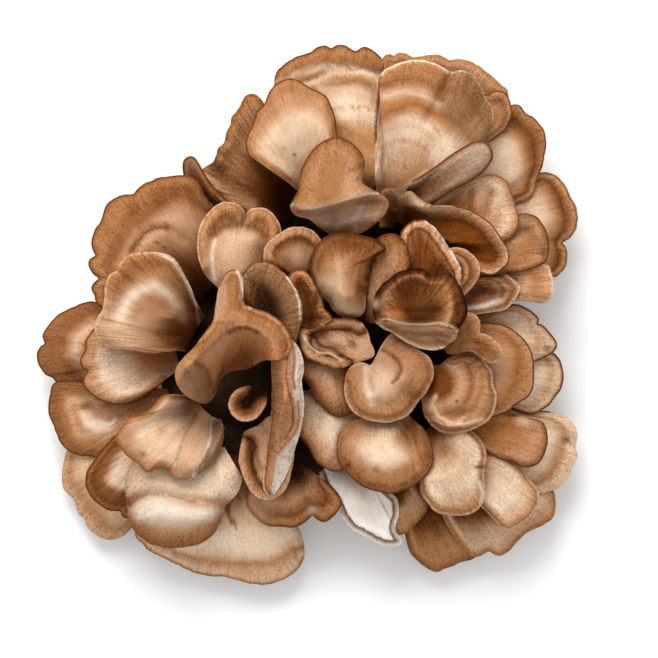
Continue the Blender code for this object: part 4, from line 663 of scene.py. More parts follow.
def depth_inside(plan, corners):
    """How far each grid point lies inside a polygon; negative outside it."""
    ring = corners + corners[:1]
    inside = np.zeros(plan.shape[:-1], dtype=bool)
    x, y = plan[..., 0], plan[..., 1]
    for (ax, ay), (bx, by) in zip(ring, ring[1:]):
        if ay != by:
            inside ^= ((ay > y) != (by > y)) & (x < ax + (y - ay) * (bx - ax) / (by - ay))
    return np.where(inside, 1, -1) * distance_to_line(plan, ring)


# ---------------------------------------------------------------- meshes


def quads(index, flip=False):
    """Four-sided faces over a grid of vertex numbers, as lists."""
    corners = [index[:-1, :-1], index[1:, :-1], index[1:, 1:], index[:-1, 1:]]
    if flip:
        corners = [corners[k] for k in (0, 3, 2, 1)]
    return np.stack(corners, axis=-1).reshape(-1, 4).tolist()


def joined(index):
    """A grid of vertex numbers whose last column meets the first."""
    return np.concatenate([index, index[:, :1]], axis=1)


def new_mesh(name, vertices, faces):
    mesh = bpy.data.meshes.new(name)
    mesh.from_pydata((vertices * MM).tolist(), [], faces)
    mesh.shade_smooth()
    return mesh


def add_attribute(mesh, name, values):
    """Stores a number or a vector for every vertex."""
    kind, key = ("FLOAT", "value") if values.ndim == 1 else ("FLOAT_VECTOR", "vector")
    mesh.attributes.new(name, kind, "POINT").data.foreach_set(key, values.astype(np.float32).ravel())


def add_piece(mesh, name, node, materials):
    """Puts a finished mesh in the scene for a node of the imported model."""
    for material in materials:
        mesh.materials.append(material)
    piece = bpy.data.objects.new(name, mesh)
    bpy.context.scene.collection.objects.link(piece)
    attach(piece, "root")
    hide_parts(node)
    return piece


# ---------------------------------------------------------------- the stem base


def base_radius(angle):
    """Widest radius of the stem base towards an angle in degrees."""
    angles = np.array([a for a, _ in BASE_OUTLINE] + [360 + BASE_OUTLINE[0][0]])
    radii = np.array([r for _, r in BASE_OUTLINE] + [BASE_OUTLINE[0][1]])
    angle = np.asarray(angle) % 360
    place = np.clip(np.searchsorted(angles, angle, side="right") - 1, 0, len(BASE_OUTLINE) - 1)
    share = (1 - np.cos(math.pi * (angle - angles[place]) / (angles[place + 1] - angles[place]))) / 2
    return radii[place] + (radii[place + 1] - radii[place]) * share


def dome(x, y):
    """Height of the stem base's upper side at a place."""
    share = np.hypot(x, y) / base_radius(np.degrees(np.arctan2(y, x)))
    return BASE_SHOULDER + (BASE_TOP - BASE_SHOULDER) * np.sqrt(np.clip(1 - share ** 2, 0, 1))


def stem_points():
    """The stem base's skin: rings from the cut edge up over the fluted side to the top of the dome."""
    angle = np.linspace(0, 360, BASE_SECTORS + 1)
    rise = np.linspace(0, 1, BASE_LEVELS + 1)
    path = list(BASE_PROFILE)
    for t in np.linspace(0.06, 1, DOME_STEPS):
        share = math.cos(t * math.pi / 2)
        height = BASE_SHOULDER + (BASE_TOP - BASE_SHOULDER) * math.sqrt(1 - share ** 2)
        path.append((max(share, 0.004), height))
    radius = 75     # typical, to space the rings by
    steps = [math.hypot((b[0] - a[0]) * radius, b[1] - a[1]) for a, b in zip(path, path[1:])]
    run = np.concatenate([[0], np.cumsum(steps)])
    share = np.interp(rise * run[-1], run, [p[0] for p in path])[:, None]
    height = np.interp(rise * run[-1], run, [p[1] for p in path])[:, None]
    rise = rise[:, None]
    turn = np.radians(angle)[None, :]
    cx, cy = np.cos(turn), np.sin(turn)
    flute = noise(cx * 5, cy * 5, 2) * 3.0 + noise(cx * 13, cy * 13, rise * 2 + 5) * 1.4
    flute = flute + noise(cx * 30, cy * 30, rise * 5 + 9) * 0.5
    shape = share * base_radius(angle) + flute * (ease(share, 0, 0.5) * ease(rise, 0, 0.04))
    z = height + noise(cx * 9, cy * 9, rise * 4) * 1.2 * ease(rise, 0, 0.1)
    points = np.dstack([shape * cx, shape * cy, z])
    points[:, -1] = points[:, 0]
    return points


def stem_mesh(grid):
    """Closed mesh of the stem base, with rings of points over its rough cut face."""
    points = grid["points"][:, :-1]
    levels, sectors = points.shape[:2]
    total = levels * sectors
    index = joined(np.arange(total).reshape(levels, sectors))
    cut = []
    for k in range(1, CUT_RINGS + 1):
        ring = points[0] * (1 - k / (CUT_RINGS + 1))
        rough = 0.5 * noise(ring[:, 0] / 4, ring[:, 1] / 4, 3) + 0.5
        cut.append(np.column_stack([ring[:, :2], rough * 0.8]))
    inner = joined(total + np.arange(CUT_RINGS * sectors).reshape(CUT_RINGS, sectors))
    inner = np.concatenate([index[:1], inner])
    vertices = np.vstack([points.reshape(-1, 3), *cut, [points[-1].mean(axis=0)], [(0, 0, 0.4)]])
    top, bottom = len(vertices) - 2, len(vertices) - 1
    faces = quads(index, flip=True) + quads(inner)
    high, low = index[-1].tolist(), inner[-1].tolist()
    faces += [(high[k], high[k + 1], top) for k in range(sectors)]
    faces += [(low[k + 1], low[k], bottom) for k in range(sectors)]
    mesh = new_mesh("stem", vertices, faces)
    seen = grid["open"][:, :-1].ravel()
    add_attribute(mesh, "open", np.concatenate([seen, np.ones(len(vertices) - len(seen))]))
    return mesh


# ---------------------------------------------------------------- frond surfaces


class HeightField:
    """Height of the highest thing so far, over a square grid of cells."""

    def __init__(self):
        cells = int(2 * FIELD_HALF_WIDTH / CELL)
        self.top = np.zeros((cells, cells))
        middle = (np.arange(cells) + 0.5) * CELL - FIELD_HALF_WIDTH
        x, y = np.meshgrid(middle, middle, indexing="ij")
        inside = np.hypot(x, y) < base_radius(np.degrees(np.arctan2(y, x)))
        self.top[inside] = dome(x, y)[inside]

    def cell(self, points):
        index = ((points[..., :2] + FIELD_HALF_WIDTH) / CELL).astype(int)
        return index[..., 0], index[..., 1]

    def height(self, points):
        return self.top[self.cell(points)]

    def highest_near(self, spot, radius):
        x, y = self.cell(np.array(spot, dtype=float))
        reach = round(radius / CELL)
        return self.top[x - reach:x + reach + 1, y - reach:y + reach + 1].max()

    def add(self, points):
        """Raises the field to these points, and to one cell all round them."""
        raised = np.zeros_like(self.top)
        np.maximum.at(raised, self.cell(points), points[..., 2])
        padded = np.pad(raised, 1)
        size = len(raised)
        for i in range(3):
            for j in range(3):
                self.top = np.maximum(self.top, padded[i:i + size, j:j + size])


def anticlockwise(outline, root):
    """The outline, turned if need be so that it runs anticlockwise round the root."""
    arms = np.array([p[:2] for p in outline]) - root
    turn = np.sum(arms[:-1, 0] * arms[1:, 1] - arms[:-1, 1] * arms[1:, 0])
    return outline if turn > 0 else outline[::-1]


def root_points(frond, margin, width):
    """Where each rib starts: on the oval outline of a fan's stalk, or close round a cap's hub."""
    away = margin[:, :2] - frond.root
    away = away / np.linalg.norm(away, axis=1)[:, None]
    if frond.closed:
        return frond.root + away * HUB_RADIUS
    axis = away.mean(axis=0)
    axis = axis / max(np.linalg.norm(axis), 0.01)
    across = np.array([-axis[1], axis[0]])
    side = (away @ across)[:, None] * across * width / 2
    front = (away @ axis)[:, None] * axis * STALK_DEPTH / 2
    return frond.root + side + front


def lobed(frond, margin, size, seed):
    """The margin with small lobes: each point moved along its own rib."""
    arms = margin[:, :2] - frond.root
    swing = sum(height * noise(margin[:, 0] / wave, margin[:, 1] / wave, seed + more)
                for height, wave, more in LOBE_SIZES)
    moved = margin.copy()
    moved[:, :2] = frond.root + arms * (1 + size * swing / np.linalg.norm(arms, axis=1))[:, None]
    return moved


def draped(lift, closed):
    """A smooth surface that is nowhere below the lift asked for."""
    wanted = lift.copy()
    for _ in range(EASING_PASSES):
        padded = np.pad(lift, 1, mode="edge")
        if closed:
            padded[:, 0], padded[:, -1] = padded[:, -3], padded[:, 2]
        around = (padded[:-2, 1:-1] + padded[2:, 1:-1] + padded[1:-1, :-2] + padded[1:-1, 2:]) / 4
        lift = np.maximum(wanted, around)
        if closed:
            lift[:, 0] = lift[:, -1] = np.maximum(lift[:, 0], lift[:, -1])
            lift[0] = lift[1].mean()
    return lift


def edge_distance(frond, plan, margin, source, bare_sides):
    """Distance in plan to the margin. The attached side of a round cap doesn't count as margin, and
    nor do the sides of a fan with bare sides."""
    extra = np.zeros(len(margin))
    arms = margin[:, :2] - frond.root
    if frond.closed:
        towards = source - frond.root
        towards = towards / max(np.linalg.norm(towards), 0.1)
        facing = (arms @ towards) / np.maximum(np.linalg.norm(arms, axis=1), 0.1)
        extra = ATTACHED * ease(facing, 0.45, 0.4)
    elif bare_sides:
        along = np.gradient(margin[:, :2], axis=0)
        facing = np.abs(np.sum(along * arms, axis=1))
        facing = facing / np.maximum(np.linalg.norm(along, axis=1) * np.linalg.norm(arms, axis=1), 1e-6)
        extra = ATTACHED * ease(facing, 0.75, 0.2)
    edge = np.full(plan.shape[:2], 1e9)
    for (x, y, _), more in zip(margin, extra):
        edge = np.minimum(edge, np.hypot(plan[..., 0] - x, plan[..., 1] - y) + more)
    return edge


def frond_grid(frond, field, seed):
    """Upper face of a frond, laid in place: a dictionary of arrays, rows by ribs."""
    look = frond.look
    outline = anticlockwise(point_list(frond.outline), frond.root)
    steps = np.diff(np.array([p[:2] for p in outline]), axis=0)
    ribs = max(LEAST_RIBS, round(np.linalg.norm(steps, axis=1).sum() / RIB_STEP))
    margin = lobed(frond, smooth_curve(outline, ribs, frond.closed), look["lobes"], seed)
    if frond.closed:
        margin[-1] = margin[0]
    roots = root_points(frond, margin, look["stalk"])
    u = np.linspace(0, 1, ROWS + 1)[:, None]
    plan = roots + (margin[:, :2] - roots) * u[..., None]
    x, y = plan[..., 0], plan[..., 1]
    length = np.linalg.norm(margin[:, :2] - roots, axis=1)
    ground = field.highest_near(frond.root, STALK_WIDTH / 2)
    source = np.array(look["source"], dtype=float)
    edge = edge_distance(frond, plan, margin, source, look["bare"])
    if frond.closed:
        reach = plan - source
        run = np.linalg.norm(reach, axis=2)
        rib_x, rib_y = RIB_CIRCLE * reach[..., 0] / run, RIB_CIRCLE * reach[..., 1] / run
    else:
        rib_x, rib_y = np.broadcast_to(margin[:, 0], x.shape), np.broadcast_to(margin[:, 1], x.shape)
        run = u * length

    crest = frond.crest
    turn = margin[:, 2] * np.clip((u - crest) / (1 - crest), 0, 1) ** look["turn"]
    if look["cliffs"]:
        turn = turn * look["rest_turn"]
    if frond.closed:
        rise = frond.height + frond.bow * np.cos(u * math.pi / 2)
    else:
        start = min(ground, look["start"]) + REST_GAP + ROOT_THICKNESS
        ramp = np.sin(u * math.pi / 2) if frond.height > start else 1 - np.cos(u * math.pi / 2)
        rise = start + (frond.height - start) * ramp + frond.bow * np.sin(u * math.pi)
    z = rise + turn - DROOP * look["droop"] * u ** 6

    z = z + look["ruffle"] * u ** 3 * noise(rib_x / RUFFLE_WAVE, rib_y / RUFFLE_WAVE, seed + 1)
    ridges = noise(rib_x / WRINKLE_WAVE, rib_y / WRINKLE_WAVE, run / WRINKLE_LENGTH + seed)
    z = z + look["wrinkle"] * (ease(u, 0.3, 0.6) * ridges)
    z = z + look["swell"] * ease(u, 0, 0.4) * noise(x / SWELL_WAVE, y / SWELL_WAVE, seed + 3)
    z = z + SKIN_HEIGHT * ease(u, 0, 0.3) * noise(x / SKIN_WAVE, y / SKIN_WAVE, seed + 5)
    z = z + look["roll"] * bell(edge - ROLL_PLACE, ROLL_WIDTH)
    z = z - look["furrow"] * bell(edge - FURROW_PLACE, FURROW_WIDTH)
    for height, width, points in look["folds"]:
        z = z + height * bell(distance_to_line(plan, point_list(points)), width)
    for drop, width, corners in look["cliffs"]:
        z = z - drop * np.clip(depth_inside(plan, point_list(corners)) / width, 0, 1) ** CLIFF_POWER

    slope = np.gradient(z, axis=0) / np.maximum(np.linalg.norm(np.gradient(plan, axis=0), axis=2), 0.3)
    flat = MARGIN_THICKNESS + (ROOT_THICKNESS - MARGIN_THICKNESS) * (1 - u) ** 2
    if not frond.closed:
        inward = np.minimum(np.arange(ribs + 1), np.arange(ribs + 1)[::-1]) * RIB_STEP
        flat = SIDE_THICKNESS + (flat - SIDE_THICKNESS) * ease(inward, 0, SIDE_WIDTH)
    depth = flat * np.minimum(np.sqrt(1 + slope ** 2), 1.8 - 0.5 * u ** 4)
    below = np.dstack([x, y, z - depth])
    lift = np.maximum(field.height(below) + REST_GAP - below[..., 2], 0) * ease(u, 0.12, 0.15)
    points = np.dstack([x, y, z + draped(lift, frond.closed)])
    field.add(points)

    front = np.percentile(length, 80)
    zone = edge + ease(edge, 1, 4) * look["arc"] * (np.maximum(front - run, 0.5) - edge)
    if look["rings"]:
        ring_x, ring_y, radius = look["rings"]
        inner = np.maximum(radius - np.hypot(x - ring_x, y - ring_y), 1)
        zone = edge + ease(edge, 1, 4) * (inner - edge)
    zone = zone + ZONE_SWING * noise(x / ZONE_WAVE, y / ZONE_WAVE, seed + 9) * ease(edge, 2, 8)
    mark, amount = marks(plan, look)
    lip = ease(-margin[:, 2], 0, 7) * ease(u, 0.15, 0.2)
    return {"points": points, "depth": depth, "rib": np.dstack([rib_x, rib_y, run]), "edge": edge,
            "zone": zone, "lip": lip, "mark": mark, "amount": amount, "u": np.broadcast_to(u, x.shape)}


def marks(plan, look):
    """Colour and strength of a frond's own patches, spots and lines over its grid, laid one over
    another."""
    x, y = plan[..., 0], plan[..., 1]
    layers = []
    for colour, soft, strength, corners in look["patches"]:
        layers.append((colour, strength * ease(0.5 + depth_inside(plan, point_list(corners)) / soft)))
    for at_x, at_y, radius, colour, strength in look["spots"]:
        share = strength * np.exp(-((x - at_x) ** 2 + (y - at_y) ** 2) / radius ** 2)
        layers.append((colour, share))
    for colour, width, strength, points in look["lines"]:
        layers.append((colour, strength * bell(distance_to_line(plan, point_list(points)), width)))
    mark, amount = np.zeros(plan.shape[:-1] + (3,)), np.zeros(plan.shape[:-1])
    for colour, share in layers:
        amount = share + amount * (1 - share)
        weight = (share / np.maximum(amount, 1e-6))[..., None]
        mark = mark * (1 - weight) + linear(colour) * weight
    return mark, amount


def underside(frond, grid):
    """Lower face: under the upper one by its thickness, running down to the stem base at the root."""
    rows = np.round(np.linspace(0, ROWS, LOWER_ROWS + 1)).astype(int)
    lower, u = grid["points"][rows].copy(), grid["u"][rows]
    lower[..., 2] -= np.minimum(grid["depth"][rows], MOST_UNDERSIDE)
    for k, (first, last) in enumerate(zip(rows, rows[1:])):
        for row in range(first + 1, last):
            share = (row - first) / (last - first)
            between = lower[k, :, 2] * (1 - share) + lower[k + 1, :, 2] * share
            short = np.maximum(between + LEAST_THICKNESS - grid["points"][row, :, 2], 0)
            lower[k:k + 2, :, 2] -= short
    level = max(float(dome(*frond.root)) - ROOT_SINK, LEAST_LEVEL)
    if frond.closed:
        arm = lower[..., :2] - frond.root
        reach = np.linalg.norm(arm, axis=2)
        held = np.maximum(reach, np.minimum(STALK_RADIUS, 0.6 * reach[-1]))
        lower[..., :2] = frond.root + arm * (held / np.maximum(reach, 1e-6))[..., None]
        near, power = CAP_SINK
        lower[..., 2] += (level - lower[..., 2]) * ease(near - u, 0, near) ** power
    else:
        count = lower.shape[1]
        middle = np.minimum(np.arange(count), np.arange(count)[::-1]) / count
        near, power = FAN_SINK
        sink = ease(near - u, 0, near) ** power * ease(middle, 0.15, 0.2)
        lower[..., 2] += np.minimum(level - lower[..., 2], 0) * sink
    return lower, rows


def rim(points, lower, closed):
    """Rounded edge between the last rows of the upper and lower faces."""
    top, bottom = points[-1], lower[-1]
    ring = np.vstack([top[-2], top, top[1]]) if closed else np.vstack([top[:1], top, top[-1:]])
    along = ring[2:, :2] - ring[:-2, :2]
    outward = unit(np.column_stack([along[:, 1], -along[:, 0], np.zeros(len(along))]), 1e-6)
    half = (top - bottom) / 2
    size = np.linalg.norm(half, axis=1)[:, None]
    turns = [math.pi * k / (RIM_STEPS + 1) for k in range(1, RIM_STEPS + 1)]
    return np.array([(top + bottom) / 2 + half * math.cos(t) + outward * size * math.sin(t) for t in turns])


def frond_piece(frond, grid):
    """Closed mesh of a frond with the slots of its two materials and its attributes."""
    closed = frond.closed
    lower, rows = underside(frond, grid)
    points = np.concatenate([grid["points"], rim(grid["points"], lower, closed), lower[::-1]])
    if closed:
        points = points[:, :-1]
    count_rows, count = points.shape[:2]
    total = count_rows * count
    index = np.arange(total).reshape(count_rows, count)
    if closed:
        index = joined(index)
    faces = quads(index)
    band = index.shape[1] - 1
    slots = [int(row > ROWS + RIM_STEPS // 2) for row in range(count_rows - 1) for _ in range(band)]
    first, last = index[0].tolist(), index[-1].tolist()
    if closed:
        extra = np.array([points[0].mean(axis=0), points[-1].mean(axis=0)])
        faces += [(total, first[k], first[k + 1]) for k in range(count)]
        faces += [(total + 1, last[k + 1], last[k]) for k in range(count)]
        slots += [0] * count + [1] * count
    else:
        extra = np.zeros((0, 3))
        end = count_rows - 1
        for side, flip in ((0, True), (count - 1, False)):
            column = index[:, side].tolist()
            loops = [column[rows[k]:rows[k + 1] + 1] + [column[end - k - 1], column[end - k]]
                     for k in range(LOWER_ROWS)]
            loops.append(column[ROWS:end - LOWER_ROWS + 1])
            faces += [tuple(loop[::-1] if flip else loop) for loop in loops]
            slots += [0] * len(loops)
        faces += [(first[k], first[k + 1], last[k + 1], last[k]) for k in range(count - 1)]
        slots += [1] * (count - 1)
    mesh = new_mesh(frond.name, np.concatenate([points.reshape(-1, 3), extra]), faces)
    mesh.polygons.foreach_set("material_index", slots)

    for name in ("edge", "zone", "lip", "amount", "open", "rib", "mark"):
        values = grid[name]
        full = np.concatenate([values, np.repeat(values[-1:], RIM_STEPS, axis=0), values[rows][::-1]])
        if closed:
            full = full[:, :-1]
        full = full.reshape((total,) + values.shape[2:])
        add_attribute(mesh, name, np.concatenate([full, np.repeat(full[:1], len(extra), axis=0)]))
    return mesh


# ---------------------------------------------------------------- openness


def normals(points):
    """Upward unit normals over a grid of points."""
    normal = unit(np.cross(np.gradient(points, axis=0), np.gradient(points, axis=1)), 1e-9)
    return np.where(normal[..., 2:] < 0, -normal, normal)


def sampled(count):
    """Every few numbers below count, and the last one."""
    return np.unique(np.concatenate([np.arange(0, count, SAMPLE_STRIDE), [count - 1]]))


def openness(grids):
    """Stores in every grid how much of the sky each point sees, from 0 to 1."""
    vertices, faces = [], []
    total = 0
    for grid in grids:
        points = grid["points"][::BLOCKER_STRIDE, ::BLOCKER_STRIDE] * MM
        rows, ribs = points.shape[:2]
        vertices.append(points.reshape(-1, 3))
        faces += quads(total + np.arange(rows * ribs).reshape(rows, ribs))
        total += rows * ribs
    tree = BVHTree.FromPolygons(np.vstack(vertices).tolist(), faces)
    rays = []
    for k in range(SKY_RAYS):
        height = math.sqrt((k + 0.5) / SKY_RAYS)
        side = math.sqrt(1 - height ** 2)
        rays.append((side * math.cos(k * GOLDEN_ANGLE), side * math.sin(k * GOLDEN_ANGLE), height))
    rays = np.array(rays)
    for grid in grids:
        points = grid["points"]
        normal = normals(points)
        rows, ribs = sampled(points.shape[0]), sampled(points.shape[1])
        seen = np.ones((len(rows), len(ribs)))
        for a, i in enumerate(rows):
            for b, j in enumerate(ribs):
                n = normal[i, j]
                start = Vector((points[i, j] + n * RAY_START + np.array((0, 0, RAY_RISE))) * MM)
                hits = sum(tree.ray_cast(start, Vector(ray + RAY_LEAN * n), RAY_LENGTH)[0] is not None
                           for ray in rays)
                seen[a, b] = 1 - hits / SKY_RAYS
        wide = np.array([np.interp(np.arange(points.shape[1]), ribs, row) for row in seen])
        tall = np.array([np.interp(np.arange(points.shape[0]), rows, column) for column in wide.T]).T
        grid["open"] = tall


# ---------------------------------------------------------------- materials


class Nodes:
    """Short calls for building one material's node tree. A value is a number, a colour or a socket."""

    def __init__(self, name):
        self.material = bpy.data.materials.new(name)
        self.material.use_nodes = True
        self.tree = self.material.node_tree
        self.shader = self.tree.nodes["Principled BSDF"]

    def put(self, value, socket):
        if isinstance(value, bpy.types.NodeSocket):
            self.tree.links.new(value, socket)
        else:
            socket.default_value = value

    def node(self, kind, values=(), **properties):
        """A new node with its properties, and with its first inputs filled in (None leaves one)."""
        node = self.tree.nodes.new("ShaderNode" + kind)
        for name, value in properties.items():
            setattr(node, name, value)
        for value, socket in zip(values, node.inputs):
            if value is not None:
                self.put(value, socket)
        return node

    def attribute(self, name, output="Fac"):
        return self.node("Attribute", attribute_name=name).outputs[output]

    def place(self):
        """Position on the object, in metres."""
        return self.node("TexCoord").outputs["Object"]

    def math(self, operation, a, b=0.0, clamp=False):
        return self.node("Math", (a, b), operation=operation, use_clamp=clamp).outputs[0]

    def remap(self, value, low, high, to_low=0.0, to_high=1.0):
        return self.node("MapRange", (value, low, high, to_low, to_high)).outputs[0]

    def scaled(self, vector, scale, offset=0.0):
        node = self.node("Mapping")
        self.put(vector, node.inputs["Vector"])
        node.inputs["Scale"].default_value = scale
        node.inputs["Location"].default_value = (offset, offset * 1.7, offset * 0.6)
        return node.outputs[0]

    def noise(self, vector, scale=1.0, detail=2.0, rough=0.5):
        node = self.node("TexNoise")
        self.put(vector, node.inputs["Vector"])
        node.inputs["Scale"].default_value = scale
        node.inputs["Detail"].default_value = detail
        node.inputs["Roughness"].default_value = rough
        return node.outputs["Fac"]

    def fibres(self, rib, scale, offset, rough):
        """Noise drawn out along the ribs."""
        return self.noise(self.scaled(rib, scale, offset), 1.0, 2.0, rough)

    def cells(self, vector, scale):
        node = self.node("TexVoronoi")
        self.put(vector, node.inputs["Vector"])
        node.inputs["Scale"].default_value = scale
        return node.outputs["Distance"]

    def mix(self, share, a, b, blend="MIX"):
        node = self.node("Mix", data_type="RGBA", blend_type=blend)
        for value, socket in ((share, "Factor"), (a, 6), (b, 7)):
            self.put(value, node.inputs[socket])
        return node.outputs[2]

    def over(self, share, colour, tint, blend="MULTIPLY"):
        """The colour, with a share of it multiplied by a tint, or added to it."""
        return self.mix(share, colour, self.mix(1.0, colour, (*tint, 1), blend))

    def paint(self, share, colour, name):
        """The colour, with a share of a named colour over it."""
        return self.mix(share, colour, (*linear(name), 1))

    def ramp(self, value, stops):
        """A colour ramp, from (place, named colour or numbers) in turn."""
        node = self.node("ValToRGB")
        elements = node.color_ramp.elements
        while len(elements) > 1:
            elements.remove(elements[-1])
        for k, (place, colour) in enumerate(stops):
            element = elements[0] if k == 0 else elements.new(place)
            element.position = place
            element.color = (*(linear(colour) if isinstance(colour, str) else colour), 1)
        self.put(value, node.inputs[0])
        return node.outputs[0]

    def zones(self, share, text):
        """A colour ramp over ZONE_SPAN, from the colours and distances of a look's zones in turn."""
        words = text.split()
        places = [0.0] + [float(word) for word in words[1::2]]
        return self.ramp(share, [(min(place / ZONE_SPAN, 1), colour)
                                 for colour, place in zip(words[::2], places)])

    def bump(self, height, distance, strength=1.0, normal=None):
        node = self.node("Bump")
        node.inputs["Strength"].default_value = strength
        node.inputs["Distance"].default_value = distance
        self.put(height, node.inputs["Height"])
        if normal is not None:
            self.put(normal, node.inputs["Normal"])
        return node.outputs[0]

    def finish(self, colour, roughness, specular, normal):
        """Fills the shader in. The specular level is one number, on the shader's own socket."""
        self.put(colour, self.shader.inputs["Base Color"])
        self.put(roughness, self.shader.inputs["Roughness"])
        self.shader.inputs["Specular IOR Level"].default_value = specular
        self.put(normal, self.shader.inputs["Normal"])
        return self.material


ZONE_SPAN = 80.0            # millimetres from the margin that a frond's colour ramp covers
DULL = 0.03                 # specular level of caps and undersides
# Scales of the fibres, across the ribs (x, y) and along them, and of the noises, in waves a metre.
FINE, SHORT, BROAD, VEINED = (2.1, 2.1, 0.16), (1.3, 1.3, 0.6), (0.33, 0.33, 0.05), (0.62, 0.62, 0.05)
CLOUD, GRAIN, SPECK, SPECKLED = 95.0, 780.0, 210.0, 60.0
UNDER_PORE, UNDER_CLOUD = 1700.0, 70.0
STEM_FIBRE, STEM_CLOUD, STEM_PORE = (600, 600, 60), 45.0, 1300.0
SOIL, SOILED = 260.0, 90.0
# Tints that a colour is multiplied by; LIGHT_FIBRE is added.
DARK_FIBRE, VEIN, STAIN = (0.55, 0.38, 0.22), (0.66, 0.52, 0.38), (0.80, 0.66, 0.52)
LIGHT_FIBRE = (0.06, 0.036, 0.017)
# Painted shade: tints that darken a colour where the point sees little of the sky, in crevices and under
# other fronds.
CAP_PAINTED_SHADE, UNDERSIDE_PAINTED_SHADE = (0.42, 0.19, 0.045), (0.42, 0.22, 0.08)
STEM_PAINTED_SHADE = (0.02, 0.007, 0.002)


def cap_material(name, look, seed):
    """Upper face of a frond: zones along the margin, drawn out into fibres, with its own marks."""
    n = Nodes(name + "_cap")
    rib = n.attribute("rib", "Vector")
    place = n.place()
    fine = n.fibres(rib, FINE, seed, 0.6)
    short = n.fibres(rib, SHORT, seed + 7, 0.65)
    broad = n.fibres(rib, BROAD, seed + 3, 0.5)
    cloud = n.noise(place, CLOUD, 3.0, 0.55)
    grain = n.noise(place, GRAIN, 3.0, 0.7)

    # Zones, whose edges stray along the fibres, less so at the very margin.
    stray = n.math("ADD", n.remap(fine, 0.3, 0.7, -0.8, 0.8), n.remap(broad, 0.3, 0.7, -0.6, 0.6))
    stray = n.math("ADD", stray, n.remap(grain, 0.3, 0.7, -0.7, 0.7))
    spread = n.remap(n.attribute("edge"), 0.3, 7.0, 0.12, 1.0)
    stray = n.math("MULTIPLY", n.math("MULTIPLY", stray, look["stray"]), spread)
    share = n.math("DIVIDE", n.math("ADD", n.attribute("zone"), stray), ZONE_SPAN)
    colour = n.zones(share, look["zones"])
    if look["lip"]:
        colour = n.mix(n.attribute("lip"), colour, n.zones(share, look["lip"]))

    # Marks, broken into specks where they fade.
    amount = n.attribute("amount")
    fading = n.math("MULTIPLY", amount, n.math("SUBTRACT", 1.0, amount, True))
    specks = n.math("ADD", n.remap(grain, 0.3, 0.7, -0.6, 0.6), n.remap(fine, 0.3, 0.7, -0.7, 0.7))
    marked = n.math("ADD", amount, n.math("MULTIPLY", fading, specks), True)
    colour = n.mix(marked, colour, n.attribute("mark", "Color"))

    # Dark and light fibres, strongest along the margin.
    streak = n.math("ADD", n.remap(fine, 0.32, 0.68, -0.20, 0.42), n.remap(short, 0.35, 0.65, -0.24, 0.24))
    streak = n.math("ADD", streak, n.remap(grain, 0.35, 0.65, -0.48, 0.55))
    rough = n.math("MULTIPLY", n.remap(n.attribute("edge"), 1.0, 15.0, 1.0, 0.42), look["streaks"])
    colour = n.over(n.math("MULTIPLY", streak, rough, True), colour, DARK_FIBRE)
    light = n.math("MULTIPLY", n.math("SUBTRACT", 0.0, streak), 0.8, True)
    colour = n.over(light, colour, LIGHT_FIBRE, "ADD")

    # Veins, stains and dots, then painted shade in crevices and under other fronds.
    vein = n.remap(n.fibres(rib, VEINED, seed + 11, 0.55), 0.5, 0.66, 0.0, 0.7)
    vein = n.math("MULTIPLY", vein, n.remap(n.attribute("edge"), 6.0, 18.0, 1.0, 0.25), True)
    colour = n.over(n.math("MULTIPLY", vein, look["veins"], True), colour, VEIN)
    colour = n.over(n.remap(cloud, 0.4, 0.68, 0.0, 0.40), colour, STAIN)
    speck = n.cells(place, SPECK)
    here = n.remap(n.noise(place, SPECKLED, 1.0), 0.58, 0.64)
    dots = n.math("MULTIPLY", n.remap(speck, 0.05, 0.09, 0.75, 0.0), here, True)
    colour = n.paint(dots, colour, "dark")
    shade = n.remap(n.attribute("open"), 0.06, 0.74, look["shade"], 0.0)
    colour = n.over(n.math("POWER", shade, 1.1), colour, CAP_PAINTED_SHADE)

    return n.finish(colour, n.remap(fine, 0.3, 0.7, 0.56, 0.74), DULL,
                    n.bump(grain, 0.00012, 0.7, n.bump(fine, 0.00045, 0.9)))


def underside_material():
    """Pale, finely pored underside, stained a little, with painted shade where it sees little of the sky.
    """
    n = Nodes("underside")
    place = n.place()
    pores = n.cells(place, UNDER_PORE)
    cloud = n.noise(place, UNDER_CLOUD, 3.0, 0.55)
    colour = n.ramp(cloud, [(0.3, "white"), (0.55, "pale"), (0.75, "sand")])
    colour = n.paint(n.remap(pores, 0.1, 0.5, 0.45, 0.0), colour, "tan")
    # Painted shade where the underside sees little of the sky.
    colour = n.over(n.remap(n.attribute("open"), 0.05, 0.75, 1.0, 0.0), colour, UNDERSIDE_PAINTED_SHADE)
    return n.finish(colour, n.remap(cloud, 0.3, 0.7, 0.62, 0.8), DULL, n.bump(pores, 0.0003, 0.8))


